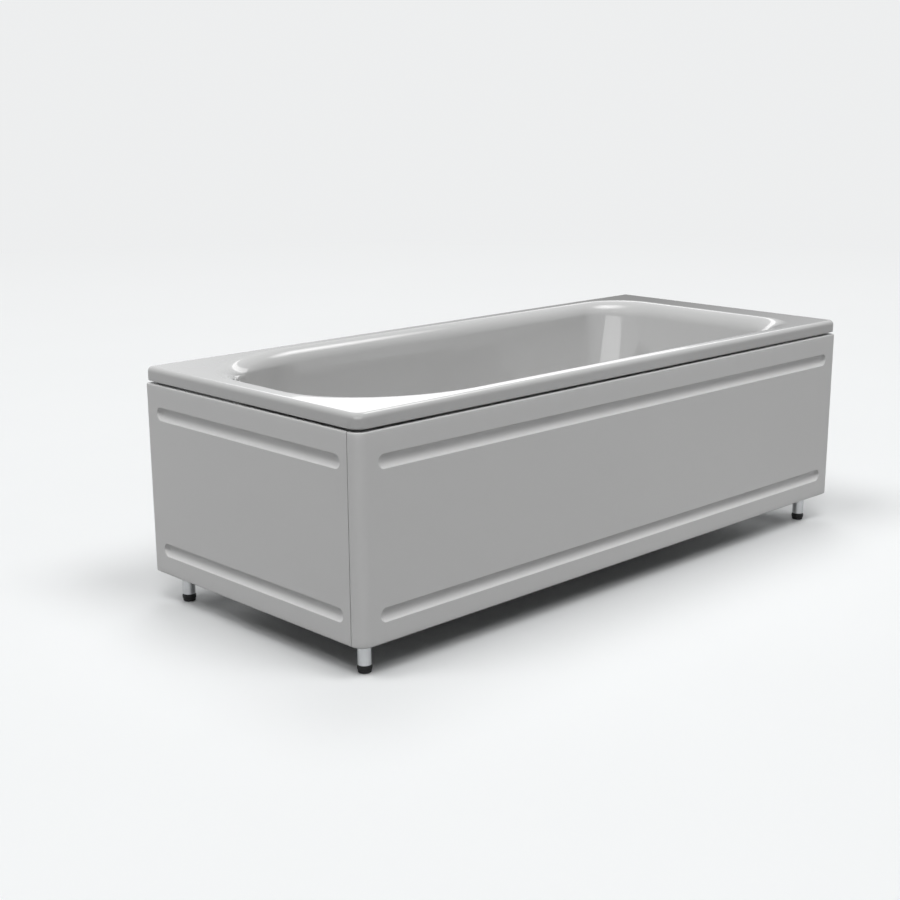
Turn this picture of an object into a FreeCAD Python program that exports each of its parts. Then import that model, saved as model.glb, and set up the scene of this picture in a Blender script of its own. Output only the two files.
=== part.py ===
import FreeCAD, Part
import math
import os
from FreeCAD import Placement, Rotation, Vector

# Alcove bathtub: a pressed steel tub with an enamelled well, carried by a tubular frame on four
# levelling legs, closed by a front panel and an end panel, with a rotary pop-up waste.
# Frame: X along the length towards the backrest, -Y towards the front, Z up from the floor.
# The origin is the middle of the footprint, on the floor. Sizes are in millimetres, angles in degrees.

# ---------------------------------------------------------------- tub
tub_length = 1700.0
tub_width = 735.0
tub_height = 560.0            # floor to the top of the rim
sheet = 3.0                   # steel sheet with its enamel
rim_drop = 32.0               # depth of the turned-down lip
rim_edge_radius = 12.0
open_corner_radius = 28.0     # of the rim in plan, where the two panels meet
wall_corner_radius = 14.0     # the other three corners

well_floor = 170.0            # floor of the well at the drain: room for the waste and the frame
floor_fall = 0.5              # slope of the well's floor towards the drain
left_land = 42.0              # flat rim between the outer edge and the well, at the foot end
right_land = 97.0             # the same behind the backrest
side_land = 34.0              # the same along the front and the back
left_roll = 40.0              # radius of the roll from the rim into the well
right_roll = 60.0
side_roll = 40.0
left_slope = 12.0             # lean of each wall from the vertical
right_slope = 20.0
side_slope = 9.0
left_foot = 90.0              # radius between each wall and the floor
right_foot = 110.0
side_foot = 75.0
left_corner_x = 330.0         # well corners at the rim: half axes of the quarter ellipses
left_corner_y = 250.0
right_corner = 130.0
left_floor_corner_x = 165.0   # the same corners at the floor
left_floor_corner_y = 105.0
right_floor_corner = 90.0
roll_crease = 8.0             # slight crease where the rolls meet the rim and the floor
profile_steps = 8             # outlines along each arc

# ---------------------------------------------------------------- waste and overflow
drain_from_end = 300.0        # drain's place from the foot end
drain_hole_radius = 26.0
overflow_depth = 75.0         # overflow's centre below the rim
overflow_hole_radius = 26.0
gasket = 4.0                  # thickness of the rubber gaskets
pipe_wall = 2.5
waste_pipe_radius = 20.0      # outside radius of the trap and the outlet
overflow_pipe_radius = 16.0
flange_radius = 38.0          # plates and flanges that cover the two holes
flange_thickness = 4.0
drain_ring_thickness = 2.5
drain_ring_radius = 35.0
drain_throat_radius = 22.5
drain_sleeve_depth = 27.0     # drain ring's sleeve below the floor
drain_sleeve_gap = 1.2        # sleeve inside the tub's hole
bedding = 1.0                 # what a piece is cut back by where it is shaped to the tub
waste_body_radius = 30.0
waste_body_height = 56.0
branch_drop = 38.0            # overflow branch below the waste body's top
branch_length = 32.0
spout_length = 17.0
trap_radius = 32.0            # centre-line radius of the trap's bends
trap_neck = 13.0              # straight pipe above the first bend and after the last
trap_nut_length = 22.0
nut_wall = 7.0
outlet_end_gap = 17.5         # outlet pipe's end short of the back of the tub
outlet_spigot = 45.0          # free end of the outlet pipe, up to its stop ring
outlet_stop_width = 3.0
outlet_stop_radius = 22.5
chamber_radius = 24.0
chamber_depth = 31.0
elbow_outlet_drop = 40.0      # end of the elbow's outlet below the chamber's middle
overflow_run = 110.0          # straight pipe below the elbow
overflow_lean_x = 50.0        # how far the pipe then leans in under the well
overflow_bend = 60.0
overflow_nut_length = 24.0
overflow_nut_wall = 5.0

spindle_radius = 4.0
running = 0.08                # radial running clearance of turning and sliding pins
seat = 0.05                   # clearance of fixed pieces slipped over round ones
float_gap = 0.3               # gap between faces of pieces that move on each other
slot_count = 6
slot_radius = 4.5
slot_circle = 13.0
knob_radius = 36.0
knob_thickness = 14.0
knob_gap = 8.0                # water gap between the knob and the wall plate
knob_edge = 3.0
knob_grips = 8
knob_grip_radius = 6.0
cam_radius = 14.0
cam_thickness = 4.0

plug_radius = 31.0
plug_thickness = 5.0
plug_edge = 2.0
plug_neck_radius = 18.5
plug_neck_length = 8.0
plug_seal_width = 3.5
plug_seal_height = 4.0
plug_stem_length = 46.0
guide_radius = 8.0            # hub of the drain ring, round the plug's stem
guide_height = 6.0
guide_arm = 4.0
guide_arm_count = 3

cable_radius = 3.0            # sheath of the pull cable
cable_side = 28.0             # cable's distance from the middle plane
nipple_radius = 5.5
nipple_length = 16.0
cable_drop = 150.0            # straight cable below the elbow
cable_bend = 70.0
cable_above_branch = 12.0

# ---------------------------------------------------------------- legs and feet
leg_inset = 52.0              # leg's axis from the sides of the tub
leg_radius = 15.0
leg_wall = 1.5
leg_cap_head = 17.0           # rubber cap between a leg and the rim
leg_cap_plug = 15.0
end_cap_flange = 3.0          # threaded plug at the bottom of a leg
end_cap_plug = 25.0
glide_height = 5.0
glide_chamfer = 1.0
glide_radius = 14.5
glide_peg_radius = 4.0
glide_peg_height = 2.2
wheel_radius = 16.0
wheel_height = 9.4
wheel_floor = 3.0
rod_radius = 5.0
rod_length = 86.0
rod_chamfer = 1.0

# ---------------------------------------------------------------- frame
rail_size = 25.0              # square tube
rail_wall = 1.5
floor_pad = 4.0               # rubber between the cross bars and the tub at the drain
floor_pad_length = 60.0
cross_bar_from_drain = 130.0  # first cross bar past the drain's axis
cross_bar_from_head = 430.0   # last cross bar from the head end of the tub
cross_bar_count = 3
floor_pad_spacing = 115.0
floor_pad_count = 3
sound_pad = 3.0
sound_pad_width = 260.0
sound_pad_gap = 50.0          # sound pads' ends from the middles of the cross bars

# ---------------------------------------------------------------- panels
panel_floor_gap = 73.0
panel_rim_gap = 6.0
panel_sheet = 3.0
panel_return = 30.0           # depth of the panel's turned-in edges
panel_edge_radius = 4.0
seam_gap = 2.5
seam_edge_radius = 1.0        # end panel's edge at the seam
groove_width = 32.0
groove_depth = 9.0
groove_inset = 61.0           # groove's middle from the top and bottom edges of a panel
groove_top_inset = 66.0
groove_end = 54.0             # groove's end from the panel's left end
groove_end_right = 38.0

panel_rail_height = 25.0      # flat bars that hold the panels
panel_rail_thickness = 4.0
upper_rail_inset = 98.0       # bars' middles from the top and bottom edges of a panel
lower_rail_inset = 23.0
front_stay_spacing = 600.0
front_stay_count = 2
end_stay_y = 150.0
pin_radius = 4.0
pin_block = 24.0
pin_block_depth = 18.0
pin_length = 22.0
pin_tip = 1.0
front_pin_spacing = 600.0
front_pin_count = 3
end_pin_spacing = 450.0
end_pin_count = 2
end_pin_offset = 25.0         # middle of the end panel's pins from the tub's middle
socket_wall = 2.0
socket_flange_radius = 9.0
socket_flange = 2.0
socket_length = 12.0
stiffener_width = 40.0
stiffener_depth = 15.0
stiffener_sheet = 1.5
stiffener_gap = 5.0
front_stiffener_spacing = 400.0
front_stiffener_count = 3
end_stiffener_spacing = 240.0
end_stiffener_count = 2
screw_radius = 2.5
screw_length = 12.0
screw_head_radius = 4.5
screw_head_height = 3.0
screw_clearance = 0.1
screw_stagger = 6.0           # keeps the end rails' screws clear of the front rails' in their shared leg

# ---------------------------------------------------------------- wall brackets and earth tag
bracket_width = 70.0
bracket_height = 88.0         # plate below the lip
bracket_sheet = 3.0
bracket_hook_depth = 6.3      # room for the lip and its play
bracket_hook_height = 17.0
bracket_spacing = 1100.0
bracket_count = 2
bracket_hole_radius = 3.25
bracket_hole_spacing = 40.0
bracket_hole_z = 30.0         # holes above the plate's lower edge
tag_x = 460.0
tag_inset = 24.0              # earth tag's plate from the back of the tub
tag_width = 22.0
tag_height = 60.0
tag_sheet = 3.0
tag_hole_radius = 3.25
tag_hole_drop = 48.0          # hole's middle below the rim's sheet, clear of the lip

# ---------------------------------------------------------------- places worked out from the sizes
half_length = tub_length / 2
half_width = tub_width / 2
rim_bottom = tub_height - rim_drop
rim_underside = tub_height - sheet
well_depth = tub_height - well_floor
well_underside = well_floor - sheet
drain_x = -half_length + drain_from_end
leg_x = half_length - leg_inset
leg_y = half_width - leg_inset
leg_bottom = glide_height + float_gap + wheel_height + float_gap + end_cap_flange
leg_top = rim_underside - leg_cap_head
rail_top = well_underside - floor_pad
rail_bottom = rail_top - rail_size
panel_bottom = panel_floor_gap
panel_top = rim_bottom - panel_rim_gap
upper_rail_z = panel_top - upper_rail_inset
lower_rail_z = panel_bottom + lower_rail_inset
groove_low_z = panel_bottom + groove_inset
groove_high_z = panel_top - groove_top_inset
groove_radius = ((groove_width / 2) ** 2 + groove_depth ** 2) / (2 * groove_depth)
panel_rail_face = leg_radius + seat          # panel rails' back from the legs' axes
stay_face = rail_size / 2                    # stays' back from the legs' axes
leg_corners = {"front_left": (-1, -1), "front_right": (1, -1), "back_left": (-1, 1), "back_right": (1, 1)}


# ---------------------------------------------------------------- helpers
def block(x0, x1, y0, y1, z0, z1):
    """Box between two corners."""
    return Part.makeBox(x1 - x0, y1 - y0, z1 - z0, Vector(x0, y0, z0))


def rod(radius, length, base, axis):
    """Cylinder from its base along its axis."""
    return Part.makeCylinder(radius, length, base, axis)


def ring(outer, inner, length, base, axis):
    """Round sleeve from its base along its axis."""
    return rod(outer, length, base, axis).cut(rod(inner, length, base, axis))


def spread(count, spacing, middle=0.0):
    """Evenly spaced places about a middle."""
    return [middle + (i - (count - 1) / 2) * spacing for i in range(count)]


def group(shapes):
    """Separate solids kept in one sub-part."""
    return Part.makeCompound(shapes)


def bent_path(points, radius):
    """Straight runs joined by tangent arcs of one radius, in one wire."""
    edges = []
    start = points[0]
    for before, corner, after in zip(points, points[1:], points[2:]):
        back = (before - corner).normalize()
        ahead = (after - corner).normalize()
        half_turn = (math.pi - back.getAngle(ahead)) / 2
        reach = radius * math.tan(half_turn)
        first = corner + back * reach
        last = corner + ahead * reach
        middle_direction = (back + ahead).normalize()
        middle = corner + middle_direction * (radius / math.cos(half_turn) - radius)
        if (first - start).Length > seat:
            edges.append(Part.LineSegment(start, first).toShape())
        edges.append(Part.Arc(first, middle, last).toShape())
        start = last
    if (points[-1] - start).Length > seat:
        edges.append(Part.LineSegment(start, points[-1]).toShape())
    return Part.Wire(edges)


def bar_along(path, points, radius):
    """Round bar that follows a bent path."""
    circle = Part.Wire(Part.makeCircle(radius, points[0], points[1] - points[0]))
    return path.makePipeShell([circle], True, True)


def bent_tube(points, bend, outer, wall):
    """Round pipe that follows a bent path."""
    path = bent_path(points, bend)
    return bar_along(path, points, outer).cut(bar_along(path, points, outer - wall))


# ---------------------------------------------------------------- tub
def wall_inset(depth, offset, roll, slope, foot):
    """How far a wall lies inside the edge of the well at a depth below the rim.

    The wall's profile is a roll arc, a straight slope and a foot arc. Both arcs meet their flat
    neighbour at a slight crease. The offset gives the sheet's outer side."""
    crease = math.radians(roll_crease)
    lean = math.radians(slope)
    roll_centre = roll * math.cos(crease)
    foot_centre = well_depth - foot * math.cos(crease)
    edge = roll * math.sin(crease)
    roll_start = roll_centre - (roll - offset) * math.cos(crease)
    roll_end = roll_centre - (roll - offset) * math.sin(lean)
    straight = (foot_centre + foot * math.sin(lean)) - (roll_centre - roll * math.sin(lean))
    foot_inset = (roll + foot) * math.cos(lean) - edge + straight * math.tan(lean)
    foot_start = foot_centre + (foot + offset) * math.sin(lean)
    if depth < roll_start:
        return -offset * math.sin(crease) - (roll_start - depth) / math.tan(crease)
    if depth < roll_end:
        return math.sqrt((roll - offset) ** 2 - (roll_centre - depth) ** 2) - edge
    if depth < foot_start:
        return (roll - offset) * math.cos(lean) - edge + (depth - roll_end) * math.tan(lean)
    return foot_inset - math.sqrt((foot + offset) ** 2 - (depth - foot_centre) ** 2)


def quarter_corner(start, corner, end):
    """Quarter ellipse from one side to the next as a cubic curve."""
    pull = 4 * (math.sqrt(2) - 1) / 3
    curve = Part.BezierCurve()
    curve.setPoles([start, start + (corner - start) * pull, end + (corner - end) * pull, end])
    return curve.toShape()


def well_section(depth, offset):
    """Level outline of the well at a depth, tilted a little towards the drain."""
    z = tub_height - depth
    left = -half_length + left_land + wall_inset(depth, offset, left_roll, left_slope, left_foot)
    right = half_length - right_land - wall_inset(depth, offset, right_roll, right_slope, right_foot)
    side = half_width - side_land - wall_inset(depth, offset, side_roll, side_slope, side_foot)
    share = (depth - offset) / well_depth
    ax = left_corner_x + (left_floor_corner_x - left_corner_x) * share + offset
    ay = left_corner_y + (left_floor_corner_y - left_corner_y) * share + offset
    b = right_corner + (right_floor_corner - right_corner) * share + offset
    points = [Vector(left, side - ay, z), Vector(left, ay - side, z),
              Vector(left + ax, -side, z), Vector(right - b, -side, z),
              Vector(right, b - side, z), Vector(right, side - b, z),
              Vector(right - b, side, z), Vector(left + ax, side, z)]
    corners = [Vector(left, -side, z), Vector(right, -side, z),
               Vector(right, side, z), Vector(left, side, z)]
    edges = []
    for i, corner in enumerate(corners):
        edges.append(Part.LineSegment(points[2 * i], points[2 * i + 1]).toShape())
        edges.append(quarter_corner(points[2 * i + 1], corner, points[(2 * i + 2) % len(points)]))
    wire = Part.Wire(edges)
    wire.rotate(Vector(drain_x, 0, z), Vector(0, 1, 0), -floor_fall * share)
    return wire


def well_levels():
    """Depths of the well's outlines along the rolls, and along the feet of the walls.

    The first outline lies above the rim's face, so that the well's edge is a clean cut. The rolls'
    list ends where the longest roll is over, and the feet's starts where the longest foot begins."""
    crease = math.radians(roll_crease)
    turns = [crease + (math.pi / 2 - crease) * i / profile_steps for i in range(profile_steps + 1)]
    roll = max(left_roll, right_roll, side_roll)
    foot = max(left_foot, right_foot, side_foot)
    upper = [roll * (math.cos(crease) - math.cos(turn)) for turn in turns]
    lower = [well_depth - foot * (math.cos(crease) - math.cos(turn)) for turn in reversed(turns)]
    return [-sheet / 2] + upper, lower


def well_body(offset):
    """Solid that fills the well, or the well with its sheet: rolls, straight walls and feet."""
    upper, lower = well_levels()
    solid = None
    for depths, ruled in ((upper, False), ([upper[-1], lower[0]], True), (lower, False)):
        piece = Part.makeLoft([well_section(depth + offset, offset) for depth in depths], True, ruled)
        solid = solid.fuse(piece) if solid else piece
    return solid


def at_open_corner(edge):
    """Whether an edge lies in the quarter of the tub where the two panels meet."""
    return edge.CenterOfMass.x < 0 and edge.CenterOfMass.y < 0


def rim_body(offset):
    """Rounded block of the rim, or the hollow under its sheet."""
    x = half_length - offset
    y = half_width - offset
    solid = block(-x, x, -y, y, rim_bottom, tub_height - offset)
    for radius, is_open in ((open_corner_radius, True), (wall_corner_radius, False)):
        upright = [e for e in solid.Edges if e.BoundBox.ZLength > rim_drop / 2]
        chosen = [e for e in upright if at_open_corner(e) == is_open]
        solid = solid.makeFillet(radius - offset, chosen)
    top = [e for e in solid.Edges if e.BoundBox.ZMin > tub_height - offset - seat]
    return solid.makeFillet(rim_edge_radius - offset, top)


def overflow_placement():
    """Frame of the overflow: its origin on the well's foot-end wall, Z square to the wall."""
    inset = wall_inset(overflow_depth, 0.0, left_roll, left_slope, left_foot)
    middle = Vector(-half_length + left_land + inset, 0, tub_height - overflow_depth)
    return Placement(middle, Rotation(Vector(0, 1, 0), 90 - left_slope))


def at_overflow(shape):
    """Place a shape modelled about the overflow's own axis."""
    moved = shape.copy()
    moved.Placement = overflow_placement()
    return moved


def make_tub(well, well_outside):
    """Pressed tub: rim with its lip, and the well with its two holes."""
    up = Vector(0, 0, 1)
    tub = rim_body(0.0).cut(rim_body(sheet))
    tub = tub.fuse(well_outside).cut(well)
    drain_hole = rod(drain_hole_radius, 4 * sheet, Vector(drain_x, 0, well_floor - 2 * sheet), up)
    overflow_hole = at_overflow(rod(overflow_hole_radius, 4 * sheet, Vector(0, 0, -2 * sheet), up))
    return tub.cut(drain_hole).cut(overflow_hole).removeSplitter()


# ---------------------------------------------------------------- legs and feet
def make_leg(side_x, side_y):
    """Round leg tube with the holes for the panel rails' screws."""
    base = Vector(side_x * leg_x, side_y * leg_y, leg_bottom)
    tube = ring(leg_radius, leg_radius - leg_wall, leg_top - leg_bottom, base, Vector(0, 0, 1))
    for hole in panel_rail_holes():
        tube = tube.cut(hole)
    return tube


def make_leg_cap(side_x, side_y):
    """Rubber cap pushed into a leg, under the rim."""
    up = Vector(0, 0, 1)
    head = rod(leg_radius, leg_cap_head, Vector(side_x * leg_x, side_y * leg_y, leg_top), up)
    plug_base = Vector(side_x * leg_x, side_y * leg_y, leg_top - leg_cap_plug)
    return head.fuse(rod(leg_radius - leg_wall - seat, leg_cap_plug, plug_base, up)).removeSplitter()


def make_end_cap(side_x, side_y):
    """Threaded plug at the bottom of a leg."""
    up = Vector(0, 0, 1)
    base = Vector(side_x * leg_x, side_y * leg_y, leg_bottom - end_cap_flange)
    top = Vector(side_x * leg_x, side_y * leg_y, leg_bottom)
    cap = rod(leg_radius, end_cap_flange, base, up)
    cap = cap.fuse(rod(leg_radius - leg_wall - seat, end_cap_plug, top, up))
    return cap.cut(rod(rod_radius + running, end_cap_flange + end_cap_plug, base, up)).removeSplitter()


def make_glide(side_x, side_y):
    """Glide that stands on the floor, with the peg that its hand wheel turns on."""
    up = Vector(0, 0, 1)
    base = Vector(side_x * leg_x, side_y * leg_y, 0)
    disc = rod(glide_radius, glide_height, base, up)
    low_rim = [e for e in disc.Edges if e.BoundBox.ZMax < seat]
    disc = disc.makeChamfer(glide_chamfer, low_rim)
    peg = rod(glide_peg_radius, glide_peg_height, base + Vector(0, 0, glide_height), up)
    return disc.fuse(peg)


def make_hand_wheel(side_x, side_y):
    """Hand wheel of a foot, moulded on the lower end of the threaded rod."""
    up = Vector(0, 0, 1)
    base = Vector(side_x * leg_x, side_y * leg_y, glide_height + float_gap)
    taper = (wheel_radius - glide_radius) / 2
    wheel = Part.makeCone(wheel_radius - taper, wheel_radius, wheel_height, base, up)
    peg_room = rod(glide_peg_radius + running, glide_peg_height, base, up)
    rod_room = rod(rod_radius, wheel_height - wheel_floor, base + Vector(0, 0, wheel_floor), up)
    return wheel.cut(peg_room).cut(rod_room)


def make_foot_rod(side_x, side_y):
    """Threaded rod of a foot."""
    base = Vector(side_x * leg_x, side_y * leg_y, glide_height + float_gap + wheel_floor)
    stud = rod(rod_radius, rod_length, base, Vector(0, 0, 1))
    tip = [e for e in stud.Edges if e.BoundBox.ZMin > base.z + rod_length - seat]
    return stud.makeChamfer(rod_chamfer, tip)


# ---------------------------------------------------------------- frame
def leg_posts(radius):
    """Full-height posts on the legs' axes, to cope the tubes against them."""
    return [rod(radius, tub_height, Vector(sx * leg_x, sy * leg_y, 0), Vector(0, 0, 1))
            for sx, sy in leg_corners.values()]


def long_rail_envelope(side_y, clearance=0.0):
    """Outer space of a long rail."""
    half = rail_size / 2 + clearance
    return block(-leg_x, leg_x, side_y * leg_y - half, side_y * leg_y + half, rail_bottom, rail_top)


def make_long_rail(side_y):
    """Square tube along the front or the back, coped to the legs."""
    half = rail_size / 2 - rail_wall
    y = side_y * leg_y
    bore = block(-leg_x, leg_x, y - half, y + half, rail_bottom + rail_wall, rail_top - rail_wall)
    tube = long_rail_envelope(side_y).cut(bore)
    for post in leg_posts(leg_radius + seat):
        tube = tube.cut(post)
    return tube


def make_end_rail(side_x):
    """Square tube across the foot or the head end, coped to the legs and the long rails."""
    half = rail_size / 2
    inner = half - rail_wall
    x = side_x * leg_x
    tube = block(x - half, x + half, -leg_y, leg_y, rail_bottom, rail_top)
    bore = block(x - inner, x + inner, -leg_y, leg_y, rail_bottom + rail_wall, rail_top - rail_wall)
    tube = tube.cut(bore)
    for post in leg_posts(leg_radius + seat):
        tube = tube.cut(post)
    for side_y in (-1, 1):
        tube = tube.cut(long_rail_envelope(side_y, seat))
    return tube


def cross_bar_xs():
    """Places of the cross bars along the tub, evenly spaced from the drain to the backrest."""
    first = drain_x + cross_bar_from_drain
    last = half_length - cross_bar_from_head
    step = (last - first) / (cross_bar_count - 1)
    return [first + i * step for i in range(cross_bar_count)]


def make_cross_bars():
    """Square tubes under the well's floor, between the long rails."""
    reach = leg_y - rail_size / 2
    half = rail_size / 2
    inner = half - rail_wall
    bars = []
    for x in cross_bar_xs():
        bar = block(x - half, x + half, -reach, reach, rail_bottom, rail_top)
        bore = block(x - inner, x + inner, -reach, reach, rail_bottom + rail_wall, rail_top - rail_wall)
        bars.append(bar.cut(bore))
    return group(bars)


def make_floor_pads(well_outside):
    """Rubber pads between the cross bars and the well, shaped to the floor above them."""
    pads = []
    half = rail_size / 2
    for x in cross_bar_xs():
        for y in spread(floor_pad_count, floor_pad_spacing):
            pad = block(x - half, x + half, y - floor_pad_length / 2, y + floor_pad_length / 2,
                        rail_top, well_floor + rail_size)
            pads.append(pad.cut(well_outside))
    return group(pads)


def make_sound_pads():
    """Damping pads glued under the well's floor, between the cross bars."""
    pads = []
    bars = cross_bar_xs()
    for before, after in zip(bars, bars[1:]):
        pad = block(before + sound_pad_gap, after - sound_pad_gap, -sound_pad_width / 2,
                    sound_pad_width / 2, well_underside - sound_pad, well_underside)
        pad.rotate(Vector(drain_x, 0, well_underside), Vector(0, 1, 0), -floor_fall)
        pads.append(pad)
    return group(pads)


# ---------------------------------------------------------------- what holds the panels
def front_rail_y():
    """Front face of the flat bars behind the front panel."""
    return -leg_y - panel_rail_face - panel_rail_thickness


def end_rail_x():
    """Outer face of the flat bars behind the end panel."""
    return -leg_x - panel_rail_face - panel_rail_thickness


def rail_levels():
    """Heights of the flat bars' middles."""
    return (lower_rail_z, upper_rail_z)


def panel_rail_screw_places():
    """Where each panel rail is screwed to a leg: a point on its outer face and the way in."""
    front = [(Vector(side * leg_x, front_rail_y(), z - screw_stagger), Vector(0, 1, 0))
             for side in (-1, 1) for z in rail_levels()]
    end = [(Vector(end_rail_x(), side * leg_y, z + screw_stagger), Vector(1, 0, 0))
           for side in (-1, 1) for z in rail_levels()]
    return front + end


def panel_rail_holes():
    """Holes through the panel rails and the near walls of the legs."""
    return [rod(screw_radius + screw_clearance, screw_length, place, inward)
            for place, inward in panel_rail_screw_places()]


def make_panel_screws():
    """Screws that hold the panel rails on the legs."""
    screws = []
    for place, inward in panel_rail_screw_places():
        head = rod(screw_head_radius, screw_head_height, place - inward * screw_head_height, inward)
        screws.append(head.fuse(rod(screw_radius, screw_length, place, inward)).removeSplitter())
    return group(screws)


def front_pin_xs():
    """Places of the front panel's pins along the tub."""
    return spread(front_pin_count, front_pin_spacing)


def end_pin_ys():
    """Places of the end panel's pins across the tub."""
    return spread(end_pin_count, end_pin_spacing, end_pin_offset)


def socket_hole_radius():
    """Outside radius of a panel socket's barrel."""
    return pin_radius + running + socket_wall


def make_front_panel_rails():
    """Two flat bars across the front legs."""
    reach = leg_x + panel_rail_height / 2
    y0 = front_rail_y()
    y1 = y0 + panel_rail_thickness
    bars = []
    for z in rail_levels():
        bar = block(-reach, reach, y0, y1, z - panel_rail_height / 2, z + panel_rail_height / 2)
        for x in front_pin_xs():
            place = Vector(x, y0, z)
            bar = bar.cut(rod(socket_hole_radius() + seat, panel_rail_thickness, place, Vector(0, 1, 0)))
        for hole in panel_rail_holes():
            bar = bar.cut(hole)
        bars.append(bar)
    return group(bars)


def make_end_panel_rails():
    """Two flat bars across the foot-end legs."""
    reach = leg_y + panel_rail_height / 2
    x0 = end_rail_x()
    x1 = x0 + panel_rail_thickness
    bars = []
    for z in rail_levels():
        bar = block(x0, x1, -reach, reach, z - panel_rail_height / 2, z + panel_rail_height / 2)
        for y in end_pin_ys():
            place = Vector(x0, y, z)
            bar = bar.cut(rod(socket_hole_radius() + seat, panel_rail_thickness, place, Vector(1, 0, 0)))
        for hole in panel_rail_holes():
            bar = bar.cut(hole)
        bars.append(bar)
    return group(bars)


def make_front_stays():
    """Upright straps that tie the front bars to the long rail."""
    z0 = lower_rail_z - panel_rail_height / 2
    z1 = upper_rail_z + panel_rail_height / 2
    half = panel_rail_height / 2
    return group([block(x - half, x + half, -leg_y - panel_rail_face, -leg_y - stay_face, z0, z1)
                  for x in spread(front_stay_count, front_stay_spacing)])


def make_end_stay():
    """Upright strap that ties the end bars to the end rail."""
    z0 = lower_rail_z - panel_rail_height / 2
    z1 = upper_rail_z + panel_rail_height / 2
    x0 = -leg_x - panel_rail_face
    half = panel_rail_height / 2
    return block(x0, -leg_x - stay_face, end_stay_y - half, end_stay_y + half, z0, z1)


def make_socket(place, inward):
    """Snap socket in a flat bar, for one panel pin."""
    mouth = place - inward * socket_flange
    flange = rod(socket_flange_radius, socket_flange, mouth, inward)
    barrel = rod(socket_hole_radius(), socket_length, place, inward)
    bore = rod(pin_radius + running, socket_flange + socket_length, mouth, inward)
    return flange.fuse(barrel).cut(bore).removeSplitter()


def make_front_sockets():
    """Sockets for the front panel."""
    return group([make_socket(Vector(x, front_rail_y(), z), Vector(0, 1, 0))
                  for x in front_pin_xs() for z in rail_levels()])


def make_end_sockets():
    """Sockets for the end panel."""
    return group([make_socket(Vector(end_rail_x(), y, z), Vector(1, 0, 0))
                  for y in end_pin_ys() for z in rail_levels()])


# ---------------------------------------------------------------- panels
def groove(start, end, radius):
    """Round-ended scoop between two points."""
    way = end - start
    middle = rod(radius, way.Length, start, way)
    return middle.fuse(Part.makeSphere(radius, start)).fuse(Part.makeSphere(radius, end)).removeSplitter()


def groove_offset():
    """Distance of a scoop's axis outside the panel's face."""
    return groove_radius - groove_depth


def front_grooves(radius):
    """The two scoops along the front panel."""
    y = -half_width - groove_offset()
    x0 = -half_length + groove_end + groove_width / 2
    x1 = half_length - groove_end_right - groove_width / 2
    return [groove(Vector(x0, y, z), Vector(x1, y, z), radius) for z in (groove_low_z, groove_high_z)]


def end_grooves(radius):
    """The two scoops along the end panel."""
    x = -half_length - groove_offset()
    y0 = -half_width + groove_end + groove_width / 2
    y1 = half_width - groove_end_right - groove_width / 2
    return [groove(Vector(x, y0, z), Vector(x, y1, z), radius) for z in (groove_low_z, groove_high_z)]


def front_tray(offset):
    """Front panel's outer space, or the hollow behind its sheet: its left end wraps the corner."""
    y_back = -half_width + panel_return
    y_face = -half_width + offset
    x0 = -half_length + offset
    x1 = half_length - offset
    z0 = panel_bottom + offset
    z1 = panel_top - offset
    wrap = panel_return - offset
    bend_start = Vector(x0 + wrap, y_face, z0)
    bend_middle = Vector(x0 + wrap * (1 - math.sqrt(0.5)), y_face + wrap * (1 - math.sqrt(0.5)), z0)
    bend_end = Vector(x0, y_back, z0)
    outline = Part.Wire([
        Part.Arc(bend_end, bend_middle, bend_start).toShape(),
        Part.LineSegment(bend_start, Vector(x1, y_face, z0)).toShape(),
        Part.LineSegment(Vector(x1, y_face, z0), Vector(x1, y_back, z0)).toShape(),
        Part.LineSegment(Vector(x1, y_back, z0), bend_end).toShape()])
    return Part.Face(outline).extrude(Vector(0, 0, z1 - z0))


def make_front_panel():
    """Front panel: a shallow tray with two scooped grooves."""
    y_back = -half_width + panel_return
    tray = front_tray(0.0)
    upright_left = [e for e in tray.Edges if e.BoundBox.ZLength > seat and e.BoundBox.XMax < 0]
    at_back = [e for e in tray.Edges if e.BoundBox.YMin > y_back - seat]
    outer = [e for e in tray.Edges if not any(e.isSame(other) for other in upright_left + at_back)]
    tray = tray.makeFillet(panel_edge_radius, outer)
    hollow = front_tray(panel_sheet)
    for scoop in front_grooves(groove_radius + panel_sheet):
        hollow = hollow.cut(scoop)
    panel = tray.cut(hollow)
    for scoop in front_grooves(groove_radius):
        panel = panel.cut(scoop)
    return panel


def end_panel_y0():
    """End panel's edge at the seam."""
    return -half_width + panel_return + seam_gap


def make_end_panel():
    """End panel: a shallow tray with two scooped grooves."""
    x_back = -half_length + panel_return
    seam_y = end_panel_y0() + seat
    tray = block(-half_length, x_back, end_panel_y0(), half_width, panel_bottom, panel_top)
    outer = [e for e in tray.Edges if e.BoundBox.XMin < x_back - seat and e.BoundBox.YMax > seam_y]
    tray = tray.makeFillet(panel_edge_radius, outer)
    seam = [e for e in tray.Edges if e.BoundBox.XMin < x_back - seat and e.BoundBox.YMax < seam_y]
    tray = tray.makeFillet(seam_edge_radius, seam)
    hollow = block(-half_length + panel_sheet, x_back, end_panel_y0() + panel_sheet,
                   half_width - panel_sheet, panel_bottom + panel_sheet, panel_top - panel_sheet)
    for scoop in end_grooves(groove_radius + panel_sheet):
        hollow = hollow.cut(scoop)
    panel = tray.cut(hollow)
    for scoop in end_grooves(groove_radius):
        panel = panel.cut(scoop)
    return panel


def stiffener_heights():
    """Lower and upper ends of the stiffeners, clear of the lower groove's back and the upper pins."""
    groove_back = math.sqrt((groove_radius + panel_sheet) ** 2 - (groove_offset() + panel_sheet) ** 2)
    return groove_low_z + groove_back + stiffener_gap, upper_rail_z - pin_block / 2 - stiffener_gap


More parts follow.
